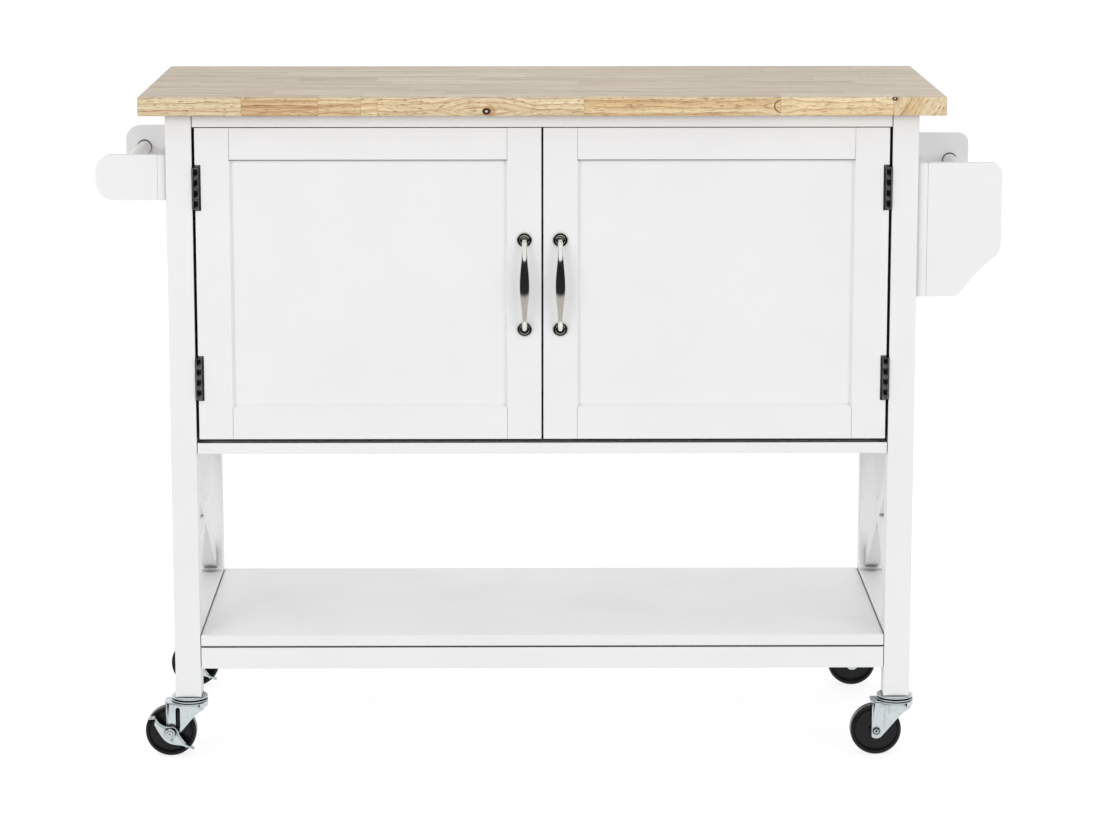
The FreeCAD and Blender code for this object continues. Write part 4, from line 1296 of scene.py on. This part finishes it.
@dataclass
class Caster:
    """A swivel caster: pressed fork with rolled races, axle bolt and wheel, about its swivel axis."""

    swivels: Pair = (-0.494, 0.475)
    swivel_y: float = 0.185
    trail: float = 0.026
    axle_height: float = 0.035
    sheet: float = 0.0025
    inner_half: float = 0.0135
    plate_low: float = 0.0745
    plate_back: float = 0.034
    corner: float = 0.007
    race_radius: float = 0.025
    rim_bulge: float = 0.0010
    race_bulge: float = 0.0011
    race_neck: float = 0.0042
    race_parting: float = 0.0010
    race_dish: Outline = ((0.0198, 0.0044), (0.0105, 0.0040), (0.0062, 0.0040))
    upper_bulge: float = 0.0019
    upper_low: float = 0.0812
    upper_top: float = 0.0850
    kingpin: Outline = ((0, 0.0706), (0.0075, 0.0706), (0.0090, 0.0716), (0.0090, 0.0742), (0.0060, 0.0742),
                        (0.0060, 0.0805), (0.0202, 0.0805))
    stem: Outline = ((0.0050, 0.0850), (0.0050, 0.1190), (0.0040, 0.1200), (0, 0.1200))
    boss_radius: float = 0.0105
    below_boss: float = 0.002
    side_back: float = 0.0304
    bend: float = 0.0024
    inner_bend: float = 0.0006
    neck_points: Outline = ((0.00562, 0.0560), (0.01276, 0.0625), (0.02194, 0.0686))
    skirt_depth: float = 0.0050
    skirt_over: float = 0.0010
    skirt_edge: float = 0.0008
    skirt_kept: tuple[Triple, Triple] = ((0.0154, -0.030, 0.060), (0.030, 0.030, 0.080))
    rib_places: Outline = ((-0.0148, 0.0400), (-0.0084, 0.0585))
    rib_radius: float = 0.0008
    rib_top_gap: float = 0.0005
    slot_middle: float = -0.0156
    slot_half: float = 0.0031
    slot_heights: Pair = (0.0400, 0.0700)
    channel_pull: Pair = (-0.040, 0.070)
    silhouette_pull: Pair = (-0.030, 0.060)
    plan_pull: Pair = (0.010, 0.080)
    slot_pull: Pair = (-0.020, 0.010)
    ease_width: float = 0.0004
    wheel_half: Outline = (
        (0.00408, 0.0130), (0.0082, 0.0130), (0.0090, 0.0123), (0.0098, 0.0102), (0.0112, 0.0091),
        (0.0145, 0.0087), (0.0270, 0.0087), (0.0286, 0.0092), (0.0296, 0.0104), (0.0300, 0.0108),
        (0.0304, 0.0106), (0.0307, 0.0106), (0.0311, 0.0110), (0.0322, 0.0109), (0.0336, 0.0100),
        (0.0346, 0.0084), (0.0350, 0.0062), (0.0350, 0.0003), (0.0349, 0.0))

    @property
    def outer_half(self) -> float:
        """Half the fork's outer width."""
        return self.inner_half + self.sheet

    @property
    def plate_high(self) -> float:
        """The top of the fork's plate."""
        return self.plate_low + self.sheet

    @property
    def hub(self) -> Vector:
        """The middle of the axle, from the swivel axis."""
        return Vector((-self.trail, 0, self.axle_height))

    def tangent(self, place: Point, side: int) -> float:
        """Where a line from a place touches the boss.

        Args:
            place: The line's start, as X and Z.
            side: 1 or -1 for the two lines that there are.

        Returns:
            The touching point's angle in degrees.
        """
        away = Vector(place) - Vector((-self.trail, self.axle_height))
        turn = side * math.acos(self.boss_radius / away.length)
        return math.degrees(math.atan2(away.y, away.x) + turn)

    def silhouette(self) -> list[Point]:
        """The fork's outline seen from the front, as X and Z."""
        axle = (-self.trail, self.axle_height)
        top_back = (-self.side_back, self.plate_high)
        back = self.tangent(top_back, 1)
        front = self.tangent(self.neck_points[0], -1)
        boss = arc(axle, self.boss_radius, back, front + 360, 20)
        slide = (self.plate_low - boss[0][1]) / (self.plate_high - boss[0][1])
        knee = boss[0][0] + (top_back[0] - boss[0][0]) * slide
        neck = flowing(self.neck_points, 6)
        back, front = -self.plate_back, self.race_radius
        return [(back, self.plate_high), (back, self.plate_low), (knee, self.plate_low), *boss, *neck,
                (front, self.plate_low - self.skirt_depth), (front, self.plate_high)]

    def plan(self) -> list[Point]:
        """The fork's outline seen from above, as X and Y."""
        half = self.outer_half
        meet = math.degrees(math.asin(half / self.race_radius))
        back = -self.plate_back + self.corner
        front = arc((0, 0), self.race_radius, -180 + meet, 180 - meet, 48)
        return [*front, *arc((back, half - self.corner), self.corner, 90, 180, 6),
                *arc((back, self.corner - half), self.corner, 180, 270, 6)]

    def channel(self) -> list[Point]:
        """The folded sheet's section, as Y and Z."""
        half, inner, bend, small = self.outer_half, self.inner_half, self.bend, self.inner_bend
        low, high = self.axle_height - self.boss_radius - self.below_boss, self.plate_high
        outside = [(half, low), *arc((half - bend, high - bend), bend, 0, 90, 6),
                   *arc((bend - half, high - bend), bend, 90, 180, 6), (-half, low)]
        inside = [(-inner, low), *arc((small - inner, self.plate_low - small), small, 180, 90, 3),
                  *arc((inner - small, self.plate_low - small), small, 90, 0, 3), (inner, low)]
        return outside + inside

    def fork(self, braked: bool) -> Piece:
        """The pressed fork with its lower race.

        Args:
            braked: Whether its front side has the brake's slot.

        Returns:
            The fork about the swivel axis.
        """
        fork = plate("fork", Plane.FACING_END, self.channel(), *self.channel_pull)
        silhouette = plate("silhouette", Plane.FACING_FRONT, self.silhouette(), *self.silhouette_pull)
        combine(fork, silhouette, "INTERSECT")
        combine(fork, plate("plan", Plane.FACING_UP, self.plan(), *self.plan_pull), "INTERSECT")
        if braked:
            low, high = self.slot_heights
            opening = [*arc((self.slot_middle, high - self.slot_half), self.slot_half, 0, 180, 8),
                       *arc((self.slot_middle, low + self.slot_half), self.slot_half, 180, 360, 8)]
            combine(fork, plate("slot", Plane.FACING_FRONT, opening, *self.slot_pull), "DIFFERENCE")
        ease(fork, self.ease_width, 2, 50)
        parts = [fork, self.lower_race(), self.skirt()]
        if not braked:
            parts += self.ribs()
        return smooth(join(parts, "fork"), 32)

    def lower_race(self) -> Piece:
        """The fork's race: a rolled rim, a neck and a second bulge that parts it from the upper race."""
        radius, rim, bulge, bore = self.race_radius, self.rim_bulge, self.race_bulge, self.race_dish[-1][0]
        neck, lift = radius - self.race_neck, 2 * rim + self.race_parting
        profile = ((bore, 0), *arc((radius - rim, rim), rim, -90, 90, 8), (neck, 2 * rim), (neck, lift),
                   *arc((radius - bulge, lift + bulge), bulge, -90, 90, 8), (neck, lift + 2 * bulge),
                   *self.race_dish)
        return turned("lower_race", profile, Vector((0, 0, self.plate_low)), UP, 96, True)

    def skirt(self) -> Piece:
        """The front of the plate, drawn down over the wheel."""
        radius, edge = self.race_radius, self.skirt_edge
        inner, rise = radius - self.sheet, self.skirt_depth + self.skirt_over
        profile = ((inner, 0), (radius - edge, 0), (radius, edge), (radius, rise), (inner, rise))
        skirt = turned("skirt", profile, Vector((0, 0, self.plate_low - self.skirt_depth)), UP, 96, True)
        return combine(skirt, block("keep", *self.skirt_kept), "INTERSECT")

    def ribs(self) -> list[Piece]:
        """The fine upright ribs pressed into both sides."""
        radius = self.rib_radius
        ribs = []
        for side in (-1, 1):
            for across, low in self.rib_places:
                centre = Vector((across, side * (self.outer_half - radius * 0.45), low))
                rise = self.plate_low - self.rib_top_gap - low
                profile = ((0, 0), (radius * 0.5, radius * 0.15), (radius * 0.87, radius * 0.5),
                           (radius, radius), (radius, rise), (0, rise))
                ribs.append(turned("rib", profile, centre, UP, 16))
        return ribs

    def upper_race(self) -> Piece:
        """The fixed half: kingpin with its head below the plate, upper race, and stem."""
        radius, bulge = self.race_radius, self.upper_bulge
        profile = (*self.kingpin, (radius - self.race_neck, self.upper_low),
                   *arc((radius - bulge, self.upper_top - bulge), bulge, -90, 90, 12), *self.stem)
        return turned("upper_race", profile, MIDDLE, UP, 96)

    def wheel(self) -> Piece:
        """The wheel, with a ringed rim, a sunk face and a long hub."""
        other_half = [(radius, -along) for radius, along in reversed(self.wheel_half[:-1])]
        return smooth(turned("wheel", [*self.wheel_half, *other_half], self.hub, BACK, 112, True), 30)

    def places(self) -> list[tuple[str, Side, Vector]]:
        """Each caster's name, side and place."""
        return [(f"{word}_{side.value}", side, Vector((across, sign * self.swivel_y, 0)))
                for word, sign in (("front", -1), ("rear", 1)) for across, side in zip(self.swivels, Side)]

    def build(self, wardrobe: Wardrobe) -> None:
        """Make one caster of each kind and copy them to the four corners."""
        bolt = AxleBolt(self.hub, self.outer_half)
        makers = {"fork": {braked: self.fork(braked) for braked in (False, True)},
                  "axle": {braked: bolt.make(braked) for braked in (False, True)}}
        wheel, race = self.wheel(), self.upper_race()
        pedal = BrakePedal(self.hub, self.outer_half).make()
        races = []
        for name, side, place in self.places():
            move = Matrix.Translation(place)
            braked = side is Side.LEFT
            for kind, made in makers.items():
                piece = copy_of(made[braked], f"{kind}_{name}", move)
                wardrobe.add_piece(piece, f"swivel_{name}", Slot.ZINC, f"caster_{kind}_{name}")
            piece = copy_of(wheel, f"wheel_{name}", move)
            wardrobe.add_piece(piece, f"wheel_{name}", Slot.WHEEL, f"caster_wheel_{name}")
            races.append(copy_of(race, f"race_{name}", move))
            if braked:
                piece = copy_of(pedal, f"pedal_{name}", move)
                wardrobe.add_piece(piece, f"pedal_{name}", Slot.ZINC, f"brake_pedal_{name}")
        wardrobe.add_piece(smooth(join(races, "upper_races"), 32), "frame", Slot.ZINC, "caster_stems")
        for source in [wheel, race, pedal, *makers["fork"].values(), *makers["axle"].values()]:
            bpy.data.objects.remove(source)


@dataclass
class AxleBolt:
    """An axle bolt: a stepped head at both ends, or a nut on the threaded end past a pedal."""

    hub: Vector
    fork_half: float
    radius: float = 0.0040
    head: Outline = (
        (0.0056, 0), (0.0056, 0.0007), (0.0053, 0.0012), (0.0049, 0.0013), (0.0045, 0.0010), (0.0042, 0.0003),
        (0.0038, 0.0003), (0.0037, 0.0014), (0.0032, 0.0021), (0.0024, 0.0024), (0.0017, 0.0023),
        (0.0012, 0.0015), (0.0008, 0.0007), (0, 0.0005))
    head_root: float = 0.001
    nut_stand: float = 0.0028
    nut_height: float = 0.0055
    nut_radius: float = 0.0075
    nut_ease: float = 0.0003
    chamfer: Outline = ((0, -0.001), (0.0082, -0.001), (0.0082, 0.0044), (0.0066, 0.0055), (0, 0.0055))
    thread: Outline = (
        (0, -0.030), (0.0040, -0.030), (0.0040, 0.0064), (0.0036, 0.0075), (0.0016, 0.0075), (0.0013, 0.0066),
        (0, 0.0066))

    def make(self, braked: bool) -> Piece:
        """Make the bolt about the swivel axis.

        Args:
            braked: Whether a pedal and the nut are in front.

        Returns:
            The bolt.
        """
        half = self.fork_half
        rear = [(0, -half), (self.radius, -half), (self.radius, half)]
        rear += [(radius, half + along) for radius, along in self.head]
        parts = [turned("axle_rear", rear, self.hub, BACK, 40)]
        if not braked:
            front = ((0, -self.head_root), *self.head)
            parts.append(turned("axle_front", front, self.hub + FRONT * half, FRONT, 40))
            return smooth(join(parts, "axle"), 32)
        nut_back = self.hub + FRONT * (half + self.nut_stand)
        nut = bar("axle_nut", nut_back, nut_back + FRONT * self.nut_height, self.nut_radius, 6)
        combine(nut, turned("nut_chamfer", self.chamfer, nut_back, FRONT, 48), "INTERSECT")
        ease(nut, self.nut_ease, 1, 50)
        thread = turned("axle_end", self.thread, nut_back, FRONT, 32)
        return smooth(join(parts + [nut, thread], "axle"), 32)


@dataclass
class BrakePedal:
    """A stamped brake pedal: curved plate, folded upper edge and a ribbed foot tab at each end."""

    hub: Vector
    fork_half: float
    gap: float = 0.0004
    sheet: float = 0.0020
    reach: float = 0.033
    flange: float = 0.0045
    flange_sheet: float = 0.0016
    tab: float = 0.0090
    top_shares: Outline = (
        (-0.60, 0.72), (-0.44, 0.47), (-0.16, 0.29), (0.22, 0.27), (0.42, -0.10), (0.66, -0.42))
    bottom_shares: Outline = (
        (0.70, -0.67), (0.50, -0.56), (0.08, -0.50), (-0.22, -0.35), (-0.46, -0.03), (-0.66, 0.33))
    tab_shares: tuple[tuple[Point, Point], ...] = (
        ((-0.86, 0.70), (-0.60, 0.72)), ((0.66, -0.42), (1.0, -0.62)))
    ridge_count: int = 4
    ridge_start: float = 0.14
    ridge_pitch: float = 0.24
    ridge_feet: Pair = (0.0006, -0.0003)
    ridge_crest: Pair = (0.0003, 0.0005)
    dimple: Point = (0.06, -0.33)
    dimple_rim: Outline = ((0.0007, 0), (0.0019, 0), (0.0019, 0.0003), (0.0014, 0.0006), (0.0007, 0.0002))
    ease_width: float = 0.0004
    strip_ease: float = 0.0003

    @property
    def back(self) -> float:
        """The Y of the pedal's rear face."""
        return -(self.fork_half + self.gap)

    def at(self, share: Point) -> Point:
        """A point of the pedal's outline, as X and Z."""
        return self.hub.x + share[0] * self.reach, self.hub.z + share[1] * self.reach

    def strip(self, run: Outline, thickness: float, depth: float) -> Piece:
        """A strip on edge that follows a run, standing forward of the plate.

        Args:
            run: The run's points, left to right.
            thickness: The sheet, measured downwards.
            depth: How far it stands forward.

        Returns:
            The strip.
        """
        points = [Vector(point) for point in run]
        lower = []
        for index, point in enumerate(points):
            ahead = points[min(index + 1, len(points) - 1)] - points[max(index - 1, 0)]
            lower.append(point + Vector((ahead.y, -ahead.x)).normalized() * thickness)
        outline = [tuple(point) for point in points + lower[::-1]]
        strip = plate("pedal_strip", Plane.FACING_FRONT, outline, self.back, -depth)
        return ease(strip, self.strip_ease, 2, 50)

    def ridges(self, ends: tuple[Point, Point]) -> list[Piece]:
        """The ribs across one foot tab.

        Args:
            ends: The tab's two ends as shares.

        Returns:
            The ribs.
        """
        start, end = (Vector(self.at(share)) for share in ends)
        along = (end - start).normalized()
        above = Vector((-along.y, along.x))
        back, thickness = self.back - self.sheet * 0.6, -(self.tab + self.sheet * 0.3)
        (foot, foot_lift), (crest, crest_lift) = self.ridge_feet, self.ridge_crest
        ribs = []
        for index in range(self.ridge_count):
            centre = start + (end - start) * (self.ridge_start + index * self.ridge_pitch)
            outline = [tuple(centre + along * across + above * lift)
                       for across, lift in ((-foot, foot_lift), (foot, foot_lift), (crest, crest_lift),
                                            (-crest, crest_lift))]
            ribs.append(plate("tab_rib", Plane.FACING_FRONT, outline, back, thickness))
        return ribs

    def make(self) -> Piece:
        """Make the pedal about the swivel axis.

        Returns:
            The pedal.
        """
        top = flowing([self.at(share) for share in self.top_shares], 4)
        bottom = flowing([self.at(share) for share in self.bottom_shares], 4)
        web = plate("pedal_web", Plane.FACING_FRONT, [*top, *bottom], self.back, -self.sheet)
        ease(web, self.ease_width, 2, 50)
        parts = [web, self.strip(top, self.flange_sheet, self.sheet + self.flange)]
        for ends in self.tab_shares:
            run = [self.at(share) for share in ends]
            parts.append(self.strip(run, self.sheet, self.sheet + self.tab))
            parts += self.ridges(ends)
        across, up = self.at(self.dimple)
        centre = Vector((across, self.back - self.sheet, up))
        parts.append(turned("pedal_dimple", self.dimple_rim, centre, FRONT, 24, True))
        return smooth(join(parts, "pedal"), 32)


# The studio round the cart


@dataclass(frozen=True)
class Lamp:
    """A soft rectangular lamp that no camera or mirror sees."""

    name: str
    place: Triple
    size: Pair
    power: float

    def build(self, target: Vector) -> None:
        """Set the lamp up, facing its target.

        Args:
            target: What it points at.
        """
        clear_selection()
        turn = (target - Vector(self.place)).to_track_quat("-Z", "Y").to_euler()
        bpy.ops.object.light_add(type="AREA", location=self.place, rotation=turn)
        lamp = bpy.context.object
        lamp.name = self.name
        lamp.data.shape = "RECTANGLE"
        lamp.data.size, lamp.data.size_y = self.size
        lamp.data.energy = self.power
        lamp.visible_camera = False
        lamp.visible_glossy = False


@dataclass(frozen=True)
class Card:
    """A curved glowing card round the front that only metal and gloss see: it paints a reflection into them,
    dark or light by its colour.

    Its profile holds distances from the middle and heights, and it can fade out between two distances.
    """

    name: str
    profile: Outline
    colour: Colour
    fade: Pair | None = None
    first_angle: float = 10
    sweep: float = 200
    steps: int = 48
    faded: float = 0.04

    def build(self) -> None:
        """Spin the card and light it."""
        side = Matrix.Rotation(math.radians(self.first_angle), 3, "Z") @ ALONG
        card = turned(self.name, self.profile, MIDDLE, UP, self.steps, degrees=self.sweep, side=side)
        graph = Graph(self.name)
        light = graph.span(graph.noise(graph.place(), 2, 2), 0.3, 0.7, 0.96, 1.04)
        if self.fade:
            away = graph.length(graph.place())
            kept = graph.span(away, *self.fade, 1.0, self.faded, "SMOOTHSTEP")
            light = graph.calc("MULTIPLY", light, kept)
        black, glow = solid(BLACK), solid(self.colour)
        card.data.materials.append(graph.finish(Base_Color=black, Roughness=1.0, Specular_IOR_Level=0.0,
                                                Emission_Color=glow, Emission_Strength=light))
        card.visible_camera = False
        card.visible_diffuse = False
        card.visible_shadow = False
        card.visible_transmission = False


@dataclass
class Studio:
    """Floor, world, lamps, mirrored cards and camera."""

    target: Triple = (0, 0, 0.55)
    lamps: tuple[Lamp, ...] = (Lamp("key_lamp", (-2.4, -3.8, 1.9), (2.4, 1.6), 49),
                               Lamp("fill_lamp", (2.6, -4.0, 1.5), (2.4, 1.6), 42),
                               Lamp("rear_lamp", (0.4, 4.4, 1.5), (3.4, 2.0), 70))
    # Painted reflections: a dark card for the unlit side and a glowing beige card for the floor near the
    # cart, seen only in metal and gloss.
    cards: tuple[Card, ...] = (
        Card("unlit_side", ((2.75, 0.02), (6.2, 0.02), (6.2, 2.1)), (0.022, 0.022, 0.024)),
        Card("painted_floor_reflection", ((0.85, 0.015), (2.9, 0.015)), (0.56, 0.536, 0.50), fade=(1.9, 2.7)))
    world_light: float = 0.79
    floor_size: float = 60
    floor_colour: Colour = (0.27, 0.27, 0.27)
    floor_shade: Colour = (0.29, 0.29, 0.29)
    floor_glow: float = 0.80
    floor_light: float = 0.40
    camera_place: Triple = (-0.0345, -4.9555, 1.3726)
    pitch: float = 10.614
    yaw: float = 0.424
    lens: float = 117.25
    sensor_width: float = 36
    clip_end: float = 200

    def world(self) -> None:
        """White wherever it is seen or mirrored, and a plain level where it lights."""
        world = bpy.data.worlds.new("studio")
        bpy.context.scene.world = world
        world.use_nodes = True
        world.node_tree.nodes.clear()
        nodes = Nodes(world.node_tree)
        white = solid(WHITE)
        lit = nodes.add("ShaderNodeBackground", {"Color": white, "Strength": self.world_light})
        seen = nodes.add("ShaderNodeBackground", {"Color": white, "Strength": 1.0})
        both = nodes.add("ShaderNodeMixShader", {"Fac": nodes.sight(), 1: lit, 2: seen})
        world.node_tree.links.new(both, world.node_tree.nodes.new("ShaderNodeOutputWorld").inputs["Surface"])

    def floor(self) -> None:
        """A plain pale floor that keeps soft shadows."""
        clear_selection()
        bpy.ops.mesh.primitive_plane_add(size=self.floor_size)
        floor = settle("studio_floor")
        graph = Graph("studio_floor")
        grain = graph.noise(graph.place(), 3, 3)
        tint = graph.blend(grain, solid(self.floor_colour), solid(self.floor_shade))
        glow = graph.span(graph.sight(), 0, 1, self.floor_light, self.floor_glow)
        floor.data.materials.append(graph.finish(Base_Color=tint, Roughness=1.0, Specular_IOR_Level=0.0,
                                                 Emission_Color=solid(WHITE), Emission_Strength=glow))

    def camera(self) -> None:
        """The photograph's camera."""
        clear_selection()
        turn = (math.radians(90 - self.pitch), 0, math.radians(-self.yaw))
        bpy.ops.object.camera_add(location=self.camera_place, rotation=turn)
        camera = bpy.context.object
        camera.name = "photo_camera"
        camera.data.lens = self.lens
        camera.data.sensor_width = self.sensor_width
        camera.data.clip_end = self.clip_end
        bpy.context.scene.camera = camera

    def build(self) -> None:
        """Set up everything round the cart."""
        bpy.context.scene.view_settings.view_transform = "Standard"
        self.world()
        self.floor()
        for card in self.cards:
            card.build()
        for lamp in self.lamps:
            lamp.build(Vector(self.target))
        self.camera()


def main() -> None:
    """Build the cart's pieces in order and set up the studio round them."""
    logging.basicConfig(level=logging.INFO, format="%(name)s: %(message)s")
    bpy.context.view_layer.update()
    wardrobe = Wardrobe()
    wardrobe.dress_nodes()
    for assembly in (Worktop(), BowHandle(), ButtHinge(), Caster()):
        log.info("building %s", type(assembly).__name__)
        assembly.build(wardrobe)
    Studio().build()
    clear_selection()


if __name__ == "__main__":
    main()
